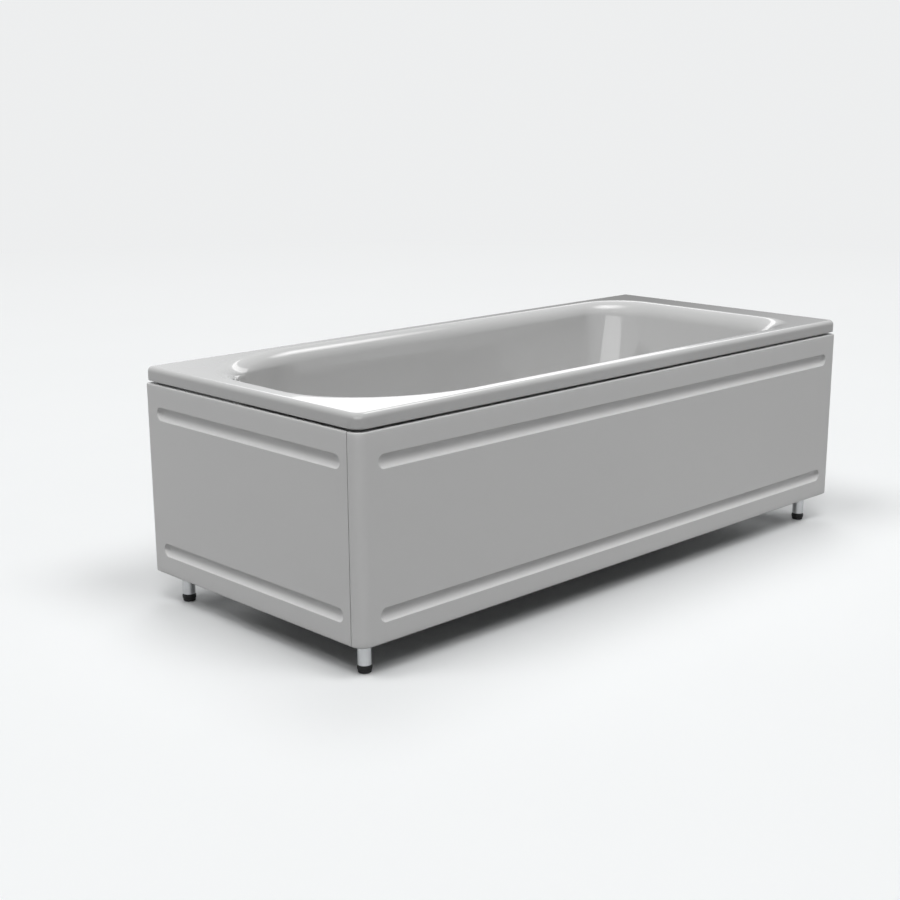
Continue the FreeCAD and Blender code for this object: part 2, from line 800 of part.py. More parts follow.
def channel(depth_start, middle, along_x):
    """Upright channel glued by its web to the back of a panel."""
    z0, z1 = stiffener_heights()
    half = stiffener_width / 2
    inner = half - stiffener_sheet
    a = depth_start
    b = depth_start + stiffener_depth
    web = depth_start + stiffener_sheet
    if along_x:
        return block(middle - half, middle + half, a, b, z0, z1).cut(
            block(middle - inner, middle + inner, web, b, z0, z1))
    return block(a, b, middle - half, middle + half, z0, z1).cut(
        block(web, b, middle - inner, middle + inner, z0, z1))


def make_front_stiffeners():
    """Channels behind the front panel."""
    return group([channel(-half_width + panel_sheet, x, True)
                  for x in spread(front_stiffener_count, front_stiffener_spacing)])


def make_end_stiffeners():
    """Channels behind the end panel."""
    return group([channel(-half_length + panel_sheet, y, False)
                  for y in spread(end_stiffener_count, end_stiffener_spacing)])


def make_pin(place, inward, across):
    """Pin block glued to the back of a panel, with the pin that snaps into its socket."""
    corner = place - across * (pin_block / 2) - Vector(0, 0, pin_block / 2)
    far = corner + across * pin_block + inward * pin_block_depth + Vector(0, 0, pin_block)
    base = block(corner.x, far.x, corner.y, far.y, corner.z, far.z)
    pin = rod(pin_radius, pin_length, place + inward * pin_block_depth, inward)
    tip_depth = pin_block_depth + pin_length - seat
    tip = [e for e in pin.Edges if (e.CenterOfMass - place).dot(inward) > tip_depth]
    return base.fuse(pin.makeChamfer(pin_tip, tip)).removeSplitter()


def make_front_pins():
    """Pins of the front panel."""
    y = -half_width + panel_sheet
    return group([make_pin(Vector(x, y, z), Vector(0, 1, 0), Vector(1, 0, 0))
                  for x in front_pin_xs() for z in rail_levels()])


def make_end_pins():
    """Pins of the end panel."""
    x = -half_length + panel_sheet
    return group([make_pin(Vector(x, y, z), Vector(1, 0, 0), Vector(0, 1, 0))
                  for y in end_pin_ys() for z in rail_levels()])


# ---------------------------------------------------------------- waste
def drain_point(z):
    """Point on the drain's axis."""
    return Vector(drain_x, 0, z)


def waste_top():
    """Top of the waste body, under its gasket."""
    return well_underside - gasket


def drain_sleeve_foot():
    """Lower end of the drain ring's sleeve."""
    return well_floor - drain_sleeve_depth


def make_drain_ring(well):
    """Drain ring with its sleeve and the three-armed guide for the plug's stem."""
    up = Vector(0, 0, 1)
    top = well_floor + drain_ring_thickness
    foot = drain_sleeve_foot()
    plate_foot = drain_point(well_floor - bedding)
    plate = rod(drain_ring_radius, drain_ring_thickness + bedding, plate_foot, up)
    edge = [e for e in plate.Edges if e.BoundBox.ZMin > top - seat]
    body = plate.makeChamfer(drain_ring_thickness / 2, edge).common(well)
    body = body.fuse(rod(drain_sleeve_radius(), top - foot, drain_point(foot), up))
    body = body.cut(rod(drain_throat_radius, top - foot, drain_point(foot), up))
    arm = block(drain_x, drain_x + drain_throat_radius + seat, -guide_arm / 2, guide_arm / 2,
                foot, foot + guide_height)
    for i in range(guide_arm_count):
        spoke = arm.copy()
        spoke.rotate(drain_point(foot), up, 360.0 * i / guide_arm_count)
        body = body.fuse(spoke)
    body = body.fuse(rod(guide_radius, guide_height, drain_point(foot), up))
    stem_bore = rod(spindle_radius + running, guide_height, drain_point(foot), up)
    return body.cut(stem_bore).removeSplitter()


def drain_sleeve_radius():
    """Outside radius of the drain ring's sleeve."""
    return drain_hole_radius - drain_sleeve_gap


def make_drain_gasket(well_outside):
    """Rubber gasket between the well's floor and the waste body."""
    foot = drain_point(waste_top())
    washer = ring(drain_ring_radius, drain_hole_radius, gasket + bedding, foot, Vector(0, 0, 1))
    return washer.cut(well_outside)


def make_waste_body():
    """Waste body: flange, chamber, spout to the trap, branch from the overflow and cable nipple."""
    up = Vector(0, 0, 1)
    outward = Vector(-1, 0, 0)
    top = waste_top()
    foot = top - waste_body_height
    branch = drain_point(top - branch_drop)
    branch_reach = waste_body_radius + branch_length
    body = rod(flange_radius, flange_thickness, drain_point(top - flange_thickness), up)
    body = body.fuse(rod(waste_body_radius, waste_body_height, drain_point(foot), up))
    body = body.fuse(rod(waste_pipe_radius, spout_length, drain_point(foot - spout_length), up))
    body = body.fuse(rod(overflow_pipe_radius, branch_reach, branch, outward))
    nipple = Vector(drain_x, cable_end().y, cable_end().z)
    body = body.fuse(rod(nipple_radius, waste_body_radius + nipple_length, nipple, outward))
    sleeve_foot = drain_sleeve_foot()
    hollow = sleeve_foot - foot - pipe_wall
    body = body.cut(rod(waste_body_radius - pipe_wall, hollow, drain_point(foot + pipe_wall), up))
    body = body.cut(rod(drain_sleeve_radius() + seat, top - sleeve_foot, drain_point(sleeve_foot), up))
    spout_foot = drain_point(foot - spout_length)
    spout_bore = rod(waste_pipe_radius - pipe_wall, spout_length + pipe_wall, spout_foot, up)
    branch_bore = rod(overflow_pipe_radius - pipe_wall, branch_reach, branch, outward)
    cable_bore = rod(cable_radius + seat, 2 * nipple_length, cable_end(), outward)
    return body.cut(spout_bore).cut(branch_bore).cut(cable_bore).removeSplitter()


def trap_points():
    """Route of the trap: down, round under, up again and out towards the back."""
    foot = waste_top() - waste_body_height - spout_length
    low = foot - trap_neck - trap_radius
    far = 2 * trap_radius
    high = low + far
    return [Vector(drain_x, 0, foot), Vector(drain_x, 0, low), Vector(drain_x, far, low),
            Vector(drain_x, far, high), Vector(drain_x, far + trap_radius + trap_neck, high)]


def make_trap():
    """U-shaped trap with the outlet bend."""
    return bent_tube(trap_points(), trap_radius, waste_pipe_radius, pipe_wall)


def make_outlet_pipe():
    """Straight outlet pipe to the back of the tub, with a stop ring before its free end."""
    back = Vector(0, 1, 0)
    start = trap_points()[-1]
    length = half_width - outlet_end_gap - start.y
    stop = start + back * (length - outlet_spigot - outlet_stop_width)
    pipe = rod(waste_pipe_radius, length, start, back)
    pipe = pipe.fuse(rod(outlet_stop_radius, outlet_stop_width, stop, back))
    return pipe.cut(rod(waste_pipe_radius - pipe_wall, length, start, back))


def make_trap_nuts():
    """Slip nuts over the trap's two joints."""
    outer = waste_pipe_radius + nut_wall
    inner = waste_pipe_radius + seat
    half = trap_nut_length / 2
    first = trap_points()[0]
    last = trap_points()[-1]
    return group([ring(outer, inner, trap_nut_length, first - Vector(0, 0, half), Vector(0, 0, 1)),
                  ring(outer, inner, trap_nut_length, last - Vector(0, half, 0), Vector(0, 1, 0))])


# ---------------------------------------------------------------- overflow
def chamber_middle():
    """Middle of the overflow elbow's chamber."""
    depth = sheet + gasket + flange_thickness + chamber_depth / 2
    return overflow_placement().multVec(Vector(0, 0, -depth))


def elbow_outlet():
    """End of the elbow's outlet."""
    return chamber_middle() - Vector(0, 0, elbow_outlet_drop)


def branch_end():
    """End of the waste body's overflow branch."""
    return Vector(drain_x - waste_body_radius - branch_length, 0, waste_top() - branch_drop)


def overflow_points():
    """Route of the overflow pipe: down, leaning in under the well, and level to the branch."""
    top = elbow_outlet()
    end = branch_end()
    return [top, top - Vector(0, 0, overflow_run), Vector(top.x + overflow_lean_x, 0, end.z), end]


def cable_start():
    """Cable's upper end, in the elbow's nipple."""
    return Vector(elbow_outlet().x, cable_side, elbow_outlet().z + nipple_length)


def cable_end():
    """Cable's lower end, in the waste body's nipple."""
    height = waste_top() - branch_drop + cable_above_branch
    return Vector(drain_x - waste_body_radius + seat, cable_side, height)


def cable_points():
    """Route of the pull cable beside the overflow pipe."""
    start = cable_start()
    end = cable_end()
    low = Vector(start.x + overflow_lean_x, cable_side, end.z)
    return [start, start - Vector(0, 0, cable_drop), low, end]


def make_overflow_elbow():
    """Elbow behind the well: flange, chamber, outlet pipe and cable nipple."""
    up = Vector(0, 0, 1)
    back = sheet + gasket
    deep = back + flange_thickness + chamber_depth
    body = at_overflow(rod(flange_radius, flange_thickness, Vector(0, 0, -back - flange_thickness), up))
    body = body.fuse(at_overflow(rod(chamber_radius, deep - back, Vector(0, 0, -deep), up)))
    body = body.fuse(rod(overflow_pipe_radius, elbow_outlet_drop, elbow_outlet(), up))
    nipple_foot = Vector(elbow_outlet().x, cable_side, elbow_outlet().z)
    body = body.fuse(rod(nipple_radius, elbow_outlet_drop + nipple_radius, nipple_foot, up))
    inner = chamber_radius - pipe_wall
    body = body.cut(at_overflow(rod(inner, deep - back - pipe_wall, Vector(0, 0, -deep + pipe_wall), up)))
    body = body.cut(rod(overflow_pipe_radius - pipe_wall, elbow_outlet_drop, elbow_outlet(), up))
    return body.cut(rod(cable_radius + seat, nipple_length, nipple_foot, up)).removeSplitter()


def make_overflow_gasket(well_outside):
    """Rubber gasket between the well's wall and the elbow."""
    foot = Vector(0, 0, -sheet - gasket)
    washer = ring(flange_radius, overflow_hole_radius, gasket + bedding, foot, Vector(0, 0, 1))
    return at_overflow(washer).cut(well_outside)


def make_overflow_plate(well):
    """Wall plate of the overflow with its water slots, its spigot and the knob's bearing."""
    up = Vector(0, 0, 1)
    spigot = sheet + gasket + flange_thickness
    plate = at_overflow(rod(flange_radius, flange_thickness + bedding, Vector(0, 0, -bedding), up))
    plate = plate.common(well)
    barrel = rod(chamber_radius - pipe_wall - seat, spigot + flange_thickness, Vector(0, 0, -spigot), up)
    plate = plate.fuse(at_overflow(barrel))
    for i in range(slot_count):
        angle = 2 * math.pi * i / slot_count
        place = Vector(slot_circle * math.cos(angle), slot_circle * math.sin(angle), -spigot)
        plate = plate.cut(at_overflow(rod(slot_radius, spigot + flange_thickness, place, up)))
    bore = rod(spindle_radius + running, spigot + flange_thickness, Vector(0, 0, -spigot), up)
    return plate.cut(at_overflow(bore)).removeSplitter()


def make_overflow_pipe():
    """Pipe from the overflow to the waste body."""
    return bent_tube(overflow_points(), overflow_bend, overflow_pipe_radius, pipe_wall)


def make_overflow_nuts():
    """Slip nuts over the overflow pipe's two joints."""
    outer = overflow_pipe_radius + overflow_nut_wall
    inner = overflow_pipe_radius + seat
    half = overflow_nut_length / 2
    upper = elbow_outlet() - Vector(0, 0, half)
    lower = branch_end() - Vector(half, 0, 0)
    return group([ring(outer, inner, overflow_nut_length, upper, Vector(0, 0, 1)),
                  ring(outer, inner, overflow_nut_length, lower, Vector(1, 0, 0))])


def make_pull_cable():
    """Sheathed cable between the overflow's chamber and the waste body."""
    points = cable_points()
    return bar_along(bent_path(points, cable_bend), points, cable_radius)


def make_knob():
    """Rotary knob that covers the overflow."""
    up = Vector(0, 0, 1)
    base = Vector(0, 0, flange_thickness + knob_gap)
    knob = rod(knob_radius, knob_thickness, base, up)
    knob = knob.makeFillet(knob_edge, [e for e in knob.Edges if e.Closed])
    scoop = rod(knob_grip_radius, knob_thickness, base + Vector(knob_radius + knob_edge, 0, 0), up)
    for i in range(knob_grips):
        grip = scoop.copy()
        grip.rotate(Vector(0, 0, 0), up, 360.0 * i / knob_grips)
        knob = knob.cut(grip)
    bore = rod(spindle_radius, knob_thickness / 2, base, up)
    return at_overflow(knob.cut(bore))


def make_spindle():
    """Knob's spindle with the cam that pulls the cable."""
    up = Vector(0, 0, 1)
    top = flange_thickness + knob_gap + knob_thickness / 2
    foot = -sheet - gasket - flange_thickness - chamber_depth + 2 * pipe_wall
    spindle = rod(spindle_radius, top - foot, Vector(0, 0, foot), up)
    cam = rod(cam_radius, cam_thickness, Vector(0, 0, foot), up)
    return at_overflow(spindle.fuse(cam).removeSplitter())


# ---------------------------------------------------------------- plug
def plug_base():
    """Underside of the plug's cap, just clear of the drain ring."""
    return well_floor + drain_ring_thickness + float_gap


def make_plug():
    """Plug: flat domed cap on a short neck."""
    up = Vector(0, 0, 1)
    cap = rod(plug_radius, plug_thickness, drain_point(plug_base()), up)
    top = [e for e in cap.Edges if e.BoundBox.ZMin > plug_base() + plug_thickness - seat]
    cap = cap.makeFillet(plug_edge, top)
    neck_foot = plug_base() - plug_neck_length
    plug = cap.fuse(rod(plug_neck_radius, plug_neck_length, drain_point(neck_foot), up))
    return plug.cut(rod(spindle_radius, plug_neck_length, drain_point(neck_foot), up)).removeSplitter()


def make_plug_seal():
    """Rubber ring on the plug's neck."""
    return ring(plug_neck_radius + plug_seal_width, plug_neck_radius, plug_seal_height,
                drain_point(plug_base() - plug_neck_length), Vector(0, 0, 1))


def make_plug_stem():
    """Stem that slides in the drain ring's guide."""
    foot = drain_point(plug_base() - plug_stem_length)
    return rod(spindle_radius, plug_stem_length, foot, Vector(0, 0, 1))


# ---------------------------------------------------------------- wall brackets and earth tag
def make_wall_brackets():
    """Hooks under the back lip, with plates that are screwed to the wall."""
    y1 = half_width
    y0 = y1 - bracket_sheet
    hook_y = y0 - bracket_hook_depth
    plate_foot = rim_bottom - bracket_height
    brackets = []
    for x in spread(bracket_count, bracket_spacing):
        x0 = x - bracket_width / 2
        x1 = x + bracket_width / 2
        plate = block(x0, x1, y0, y1, plate_foot, rim_bottom)
        shelf = block(x0, x1, hook_y, y0, rim_bottom - bracket_sheet, rim_bottom)
        hook = block(x0, x1, hook_y, hook_y + bracket_sheet, rim_bottom, rim_bottom + bracket_hook_height)
        bracket = plate.fuse(shelf).fuse(hook)
        for hole_x in spread(2, bracket_hole_spacing, x):
            place = Vector(hole_x, y0, plate_foot + bracket_hole_z)
            bracket = bracket.cut(rod(bracket_hole_radius, bracket_sheet, place, Vector(0, 1, 0)))
        brackets.append(bracket.removeSplitter())
    return group(brackets)


def make_earth_tag():
    """Earthing tag welded under the rim, with the hole for the earth wire's bolt."""
    y1 = half_width - tag_inset
    tag = block(tag_x - tag_width / 2, tag_x + tag_width / 2, y1 - tag_sheet, y1,
                rim_underside - tag_height, rim_underside)
    place = Vector(tag_x, y1 - tag_sheet, rim_underside - tag_hole_drop)
    return tag.cut(rod(tag_hole_radius, tag_sheet, place, Vector(0, 1, 0)))


# ---------------------------------------------------------------- all sub-parts
def build():
    """Every sub-part under its name."""
    well = well_body(0.0)
    well_outside = well_body(sheet)
    parts = {
        "tub_shell": make_tub(well, well_outside),
        "leg_caps": group([make_leg_cap(*corner) for corner in leg_corners.values()]),
        "leg_end_caps": group([make_end_cap(*corner) for corner in leg_corners.values()]),
        "front_rail": make_long_rail(-1),
        "back_rail": make_long_rail(1),
        "foot_end_rail": make_end_rail(-1),
        "head_end_rail": make_end_rail(1),
        "cross_bars": make_cross_bars(),
        "floor_pads": make_floor_pads(well_outside),
        "sound_pads": make_sound_pads(),
        "front_panel_rails": make_front_panel_rails(),
        "end_panel_rails": make_end_panel_rails(),
        "front_stays": make_front_stays(),
        "end_stay": make_end_stay(),
        "panel_rail_screws": make_panel_screws(),
        "front_panel_sockets": make_front_sockets(),
        "end_panel_sockets": make_end_sockets(),
        "front_panel": make_front_panel(),
        "front_panel_stiffeners": make_front_stiffeners(),
        "front_panel_pins": make_front_pins(),
        "end_panel": make_end_panel(),
        "end_panel_stiffeners": make_end_stiffeners(),
        "end_panel_pins": make_end_pins(),
        "drain_ring": make_drain_ring(well),
        "drain_gasket": make_drain_gasket(well_outside),
        "waste_body": make_waste_body(),
        "trap_bend": make_trap(),
        "trap_nuts": make_trap_nuts(),
        "outlet_pipe": make_outlet_pipe(),
        "overflow_plate": make_overflow_plate(well),
        "overflow_gasket": make_overflow_gasket(well_outside),
        "overflow_elbow": make_overflow_elbow(),
        "overflow_pipe": make_overflow_pipe(),
        "overflow_nuts": make_overflow_nuts(),
        "pull_cable": make_pull_cable(),
        "overflow_knob": make_knob(),
        "knob_spindle": make_spindle(),
        "drain_plug": make_plug(),
        "plug_seal": make_plug_seal(),
        "plug_stem": make_plug_stem(),
        "wall_brackets": make_wall_brackets(),
        "earth_tag": make_earth_tag(),
    }
    for name, corner in leg_corners.items():
        parts["leg_" + name] = make_leg(*corner)
        parts["glide_" + name] = make_glide(*corner)
        parts["hand_wheel_" + name] = make_hand_wheel(*corner)
        parts["foot_rod_" + name] = make_foot_rod(*corner)
    return parts


os.makedirs("parts", exist_ok=True)
for name, shape in build().items():
    shape.exportStep(os.path.join("parts", name + ".step"))
    print(name, len(shape.Solids), "solids", round(shape.Volume / 1000), "cm3", "valid", shape.isValid())
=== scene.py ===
import math

import bmesh
import bpy
import numpy as np
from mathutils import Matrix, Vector


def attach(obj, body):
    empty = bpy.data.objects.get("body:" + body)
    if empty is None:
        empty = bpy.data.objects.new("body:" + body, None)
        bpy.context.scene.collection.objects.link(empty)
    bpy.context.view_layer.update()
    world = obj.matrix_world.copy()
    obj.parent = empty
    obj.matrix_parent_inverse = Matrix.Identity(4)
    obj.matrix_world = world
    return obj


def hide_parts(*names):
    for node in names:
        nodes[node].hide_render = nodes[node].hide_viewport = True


# Looks of the alcove bathtub, laid over its CAD parts. Metres; x towards the backrest,
# y towards the tub's back, z up from the floor. Angles in the dictionaries are in degrees.

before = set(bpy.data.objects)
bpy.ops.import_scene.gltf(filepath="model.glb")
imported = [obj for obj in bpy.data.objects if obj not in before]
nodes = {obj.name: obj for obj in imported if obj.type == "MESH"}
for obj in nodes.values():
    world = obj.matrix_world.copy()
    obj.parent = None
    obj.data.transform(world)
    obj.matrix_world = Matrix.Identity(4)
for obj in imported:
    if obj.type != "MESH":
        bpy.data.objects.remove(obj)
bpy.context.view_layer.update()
print("frame loaded:", len(nodes), "parts")


def shade(mesh, sharp):
    # smooth shading, broken where faces meet at more than the sharp angle
    mesh.shade_smooth()
    mesh.set_sharp_from_angle(angle=math.radians(sharp))


weld = 2e-6  # points closer than this become one


def meshFromGrid(name, grid, rowsClose, columnsClose, sharp, closed=True):
    # four neighbours of the grid make one face; the first row or column is repeated after the
    # last one where the sheet closes on itself
    index = np.arange(grid.shape[0] * grid.shape[1]).reshape(grid.shape[:2])
    if rowsClose:
        index = np.vstack([index, index[:1]])
    if columnsClose:
        index = np.hstack([index, index[:, :1]])
    faces = np.stack([index[:-1, :-1], index[1:, :-1], index[1:, 1:], index[:-1, 1:]], -1)
    mesh = bpy.data.meshes.new(name)
    mesh.from_pydata(grid.reshape(-1, 3).tolist(), [], faces.reshape(-1, 4).tolist())
    work = bmesh.new()
    work.from_mesh(mesh)
    bmesh.ops.remove_doubles(work, verts=work.verts, dist=weld)
    if closed and work.calc_volume(signed=True) < 0:
        bmesh.ops.reverse_faces(work, faces=work.faces)
    work.to_mesh(mesh)
    work.free()
    shade(mesh, sharp)
    return mesh


def addPiece(name, mesh, material, body, standsFor):
    piece = bpy.data.objects.new(name, mesh)
    bpy.context.scene.collection.objects.link(piece)
    mesh.materials.append(material)
    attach(piece, body)
    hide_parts(*standsFor)
    return piece


def addTurned(name, grid, material, body, standsFor, sharp=40.0):
    # a piece whose grid closes round its own axis
    mesh = meshFromGrid(name, grid, False, True, sharp)
    addPiece(name, mesh, material, body, standsFor)


def settled(piece):
    # the piece's modifiers become part of its mesh
    graph = bpy.context.evaluated_depsgraph_get()
    mesh = bpy.data.meshes.new_from_object(piece.evaluated_get(graph))
    piece.modifiers.clear()
    piece.data = mesh


def turned(profile, steps, lobes=None):
    # profile rows are (radius, height); each point is (r cos a, r sin a, h) round the z axis.
    # lobes(angle, radius) may give a new radius
    angle = np.linspace(0, 2 * np.pi, steps, endpoint=False)[None, :]
    radius = np.repeat(profile[:, :1], steps, 1)
    height = np.repeat(profile[:, 1:2], steps, 1)
    if lobes:
        radius = lobes(angle, radius)
    return np.stack([radius * np.cos(angle), radius * np.sin(angle), height], -1)


def rounded(profile, radius, steps=5):
    # cuts each inner corner of a profile with a quadratic curve that starts and ends at most one
    # radius, and just under half a side, away from the corner
    share = 0.49
    profile = np.array(profile, float)
    done = [profile[:1]]
    for before, corner, after in zip(profile, profile[1:], profile[2:]):
        back, ahead = before - corner, after - corner
        reach = min(radius, share * np.linalg.norm(back), share * np.linalg.norm(ahead))
        start = corner + back / np.linalg.norm(back) * reach
        end = corner + ahead / np.linalg.norm(ahead) * reach
        t = np.linspace(0, 1, steps)[:, None]
        done.append((1 - t) ** 2 * start + 2 * t * (1 - t) * corner + t ** 2 * end)
    return np.concatenate(done + [profile[-1:]])


def newMaterial(name):
    material = bpy.data.materials.new(name)
    material.use_nodes = True
    tree = material.node_tree
    shader = tree.nodes["Principled BSDF"]
    place = tree.nodes.new("ShaderNodeTexCoord")
    return material, tree, shader, place.outputs["Object"]


def noise(tree, place, scale, detail=2.0, rough=0.5, stretch=None):
    if stretch:
        mapping = tree.nodes.new("ShaderNodeMapping")
        mapping.inputs["Scale"].default_value = stretch
        tree.links.new(place, mapping.inputs["Vector"])
        place = mapping.outputs["Vector"]
    texture = tree.nodes.new("ShaderNodeTexNoise")
    texture.inputs["Scale"].default_value = scale
    texture.inputs["Detail"].default_value = detail
    texture.inputs["Roughness"].default_value = rough
    tree.links.new(place, texture.inputs["Vector"])
    return texture.outputs["Fac"]


def spread(tree, value, low, high, fromLow=0.3, fromHigh=0.7):
    # a texture's middle range mapped to low..high
    ranged = tree.nodes.new("ShaderNodeMapRange")
    ranged.inputs["From Min"].default_value = fromLow
    ranged.inputs["From Max"].default_value = fromHigh
    ranged.inputs["To Min"].default_value = low
    ranged.inputs["To Max"].default_value = high
    tree.links.new(value, ranged.inputs["Value"])
    return ranged.outputs["Result"]


def blend(tree, factor, low, high):
    # mixes two colours, each a tuple or another node's output
    mix = tree.nodes.new("ShaderNodeMix")
    mix.data_type = "RGBA"
    tree.links.new(factor, mix.inputs["Factor"])
    for colour, name in ((low, "A"), (high, "B")):
        if isinstance(colour, tuple):
            mix.inputs[name].default_value = (*colour, 1)
        else:
            tree.links.new(colour, mix.inputs[name])
    return mix.outputs["Result"]


def bump(tree, value, depth, strength=1.0, after=None):
    node = tree.nodes.new("ShaderNodeBump")
    node.inputs["Distance"].default_value = depth
    node.inputs["Strength"].default_value = strength
    tree.links.new(value, node.inputs["Height"])
    if after:
        tree.links.new(after, node.inputs["Normal"])
    return node.outputs["Normal"]


enamelLook = {"light": (0.540, 0.540, 0.537), "dark": (0.528, 0.529, 0.527), "clouds": 2.5,
              "roughness": (0.06, 0.10), "glossDrift": 9.0, "peel": 0.000005, "peelScale": 140.0,
              "ior": 1.52, "coat": 1.0, "coatRoughness": 0.03}
panelLook = {"light": (0.790, 0.790, 0.786), "dark": (0.777, 0.778, 0.776), "clouds": 1.8,
             "roughness": (0.34, 0.42), "glossDrift": 14.0, "wave": 0.00003, "waveScale": 26.0,
             "grain": 0.000010, "grainScale": 1400.0, "ior": 1.49}


def enamelMaterial(look):
    # glossy enamel: faint clouds in the colour, a faint orange peel in the surface
    material, tree, shader, place = newMaterial("whiteEnamel")
    clouds = spread(tree, noise(tree, place, look["clouds"], detail=3.0), 0, 1)
    tree.links.new(blend(tree, clouds, look["dark"], look["light"]), shader.inputs["Base Color"])
    gloss = spread(tree, noise(tree, place, look["glossDrift"], detail=4.0), *look["roughness"])
    tree.links.new(gloss, shader.inputs["Roughness"])
    peel = bump(tree, noise(tree, place, look["peelScale"], detail=1.0), look["peel"])
    tree.links.new(peel, shader.inputs["Normal"])
    shader.inputs["IOR"].default_value = look["ior"]
    shader.inputs["Coat Weight"].default_value = look["coat"]
    shader.inputs["Coat Roughness"].default_value = look["coatRoughness"]
    return material


def panelMaterial(look):
    # satin moulded sheet: very fine grain, slow drift in the gloss
    material, tree, shader, place = newMaterial("satinPanel")
    clouds = spread(tree, noise(tree, place, look["clouds"], detail=3.0), 0, 1)
    tree.links.new(blend(tree, clouds, look["dark"], look["light"]), shader.inputs["Base Color"])
    gloss = spread(tree, noise(tree, place, look["glossDrift"], detail=4.0), *look["roughness"])
    tree.links.new(gloss, shader.inputs["Roughness"])
    wave = bump(tree, noise(tree, place, look["waveScale"]), look["wave"], strength=0.4)
    grain = bump(tree, noise(tree, place, look["grainScale"]), look["grain"], after=wave)
    tree.links.new(grain, shader.inputs["Normal"])
    shader.inputs["IOR"].default_value = look["ior"]
    return material


legLook = {"dark": (0.52, 0.53, 0.54), "light": (0.58, 0.59, 0.60), "roughness": (0.26, 0.40),
           "metallic": 0.9, "lines": 900.0, "lineDepth": 0.000015, "stretch": (1.0, 1.0, 0.02)}
rodLook = {"dark": (0.52, 0.52, 0.52), "light": (0.64, 0.64, 0.63), "roughness": (0.28, 0.42),
           "metallic": 1.0, "lines": 700.0, "lineDepth": 0.00001, "stretch": (1.0, 1.0, 0.1)}
chromeLook = {"dark": (0.80, 0.81, 0.82), "light": (0.86, 0.87, 0.88), "roughness": (0.04, 0.10),
              "metallic": 1.0, "lines": 260.0, "lineDepth": 0.000004, "stretch": (1.0, 1.0, 1.0)}
zincLook = {"dark": (0.46, 0.47, 0.48), "light": (0.60, 0.61, 0.62), "roughness": (0.34, 0.52),
            "metallic": 0.85, "crystals": 110.0, "grain": 300.0, "grainDepth": 0.00003}


def metalMaterial(name, look, cloudScale=22.0):
    # metal with fine drawn lines along one axis and slow changes of tone
    material, tree, shader, place = newMaterial(name)
    drawn = noise(tree, place, look["lines"], detail=3.0, rough=0.6, stretch=look["stretch"])
    clouds = spread(tree, noise(tree, place, cloudScale, detail=4.0), 0, 1)
    tree.links.new(blend(tree, clouds, look["dark"], look["light"]), shader.inputs["Base Color"])
    tree.links.new(spread(tree, drawn, *look["roughness"]), shader.inputs["Roughness"])
    tree.links.new(bump(tree, drawn, look["lineDepth"]), shader.inputs["Normal"])
    shader.inputs["Metallic"].default_value = look["metallic"]
    return material


def zincMaterial(look):
    # hot-dip zinc: flat crystals of slightly different tone and gloss
    material, tree, shader, place = newMaterial("zincSteel")
    crystals = tree.nodes.new("ShaderNodeTexVoronoi")
    crystals.inputs["Scale"].default_value = look["crystals"]
    tree.links.new(place, crystals.inputs["Vector"])
    grey = tree.nodes.new("ShaderNodeSeparateColor")
    tree.links.new(crystals.outputs["Color"], grey.inputs["Color"])
    tone = grey.outputs["Red"]
    tree.links.new(blend(tree, tone, look["dark"], look["light"]), shader.inputs["Base Color"])
    gloss = spread(tree, tone, *look["roughness"], fromLow=0, fromHigh=1)
    tree.links.new(gloss, shader.inputs["Roughness"])
    grain = bump(tree, noise(tree, place, look["grain"], detail=3.0), look["grainDepth"])
    tree.links.new(grain, shader.inputs["Normal"])
    shader.inputs["Metallic"].default_value = look["metallic"]
    return material


footPlasticLook = {"dark": (0.012, 0.012, 0.013), "light": (0.022, 0.022, 0.023), "ior": 1.38,
                   "roughness": (0.42, 0.56), "grain": 1600.0, "grainDepth": 0.00003}
rubberLook = {"dark": (0.022, 0.022, 0.022), "light": (0.036, 0.036, 0.036), "ior": 1.5,
              "roughness": (0.65, 0.82), "grain": 900.0, "grainDepth": 0.00004}
fittingLook = {"dark": (0.74, 0.74, 0.72), "light": (0.80, 0.80, 0.78), "ior": 1.5,
               "roughness": (0.34, 0.46), "grain": 1200.0, "grainDepth": 0.00001}
pipeLook = {"dark": (0.78, 0.78, 0.765), "light": (0.83, 0.83, 0.815), "ior": 1.5,
            "roughness": (0.20, 0.32), "grain": 500.0, "grainDepth": 0.00001}
dampingLook = {"dark": (0.055, 0.055, 0.058), "light": (0.085, 0.085, 0.088), "roughness": 0.7,
               "cells": 85.0, "unevenness": 0.15, "cellDepth": 0.0006}


def mouldedMaterial(name, look, cloudScale=30.0, driftScale=60.0):
    # moulded plastic or rubber: fine grain, faint flow clouds
    material, tree, shader, place = newMaterial(name)
    clouds = spread(tree, noise(tree, place, cloudScale, detail=4.0), 0, 1)
    tree.links.new(blend(tree, clouds, look["dark"], look["light"]), shader.inputs["Base Color"])
    gloss = spread(tree, noise(tree, place, driftScale, detail=3.0), *look["roughness"])
    tree.links.new(gloss, shader.inputs["Roughness"])
    grain = bump(tree, noise(tree, place, look["grain"]), look["grainDepth"])
    tree.links.new(grain, shader.inputs["Normal"])
    shader.inputs["IOR"].default_value = look["ior"]
    return material


def dampingMaterial(look):
    # bitumen pad: dark sheet with embossed cells, its colour darker in the cells' hollows than on their
    # raised edges as painted shade that follows the emboss
    material, tree, shader, place = newMaterial("dampingPad")
    cells = tree.nodes.new("ShaderNodeTexVoronoi")
    cells.inputs["Scale"].default_value = look["cells"]
    cells.inputs["Randomness"].default_value = look["unevenness"]
    tree.links.new(place, cells.inputs["Vector"])
    reliefAndShade = spread(tree, cells.outputs["Distance"], 0, 1, fromLow=0.2, fromHigh=0.5)
    # painted shade: the same cell value that sinks the emboss darkens the colour in its hollows
    tree.links.new(blend(tree, reliefAndShade, look["dark"], look["light"]), shader.inputs["Base Color"])
    tree.links.new(bump(tree, reliefAndShade, look["cellDepth"]), shader.inputs["Normal"])
    shader.inputs["Roughness"].default_value = look["roughness"]
    return material


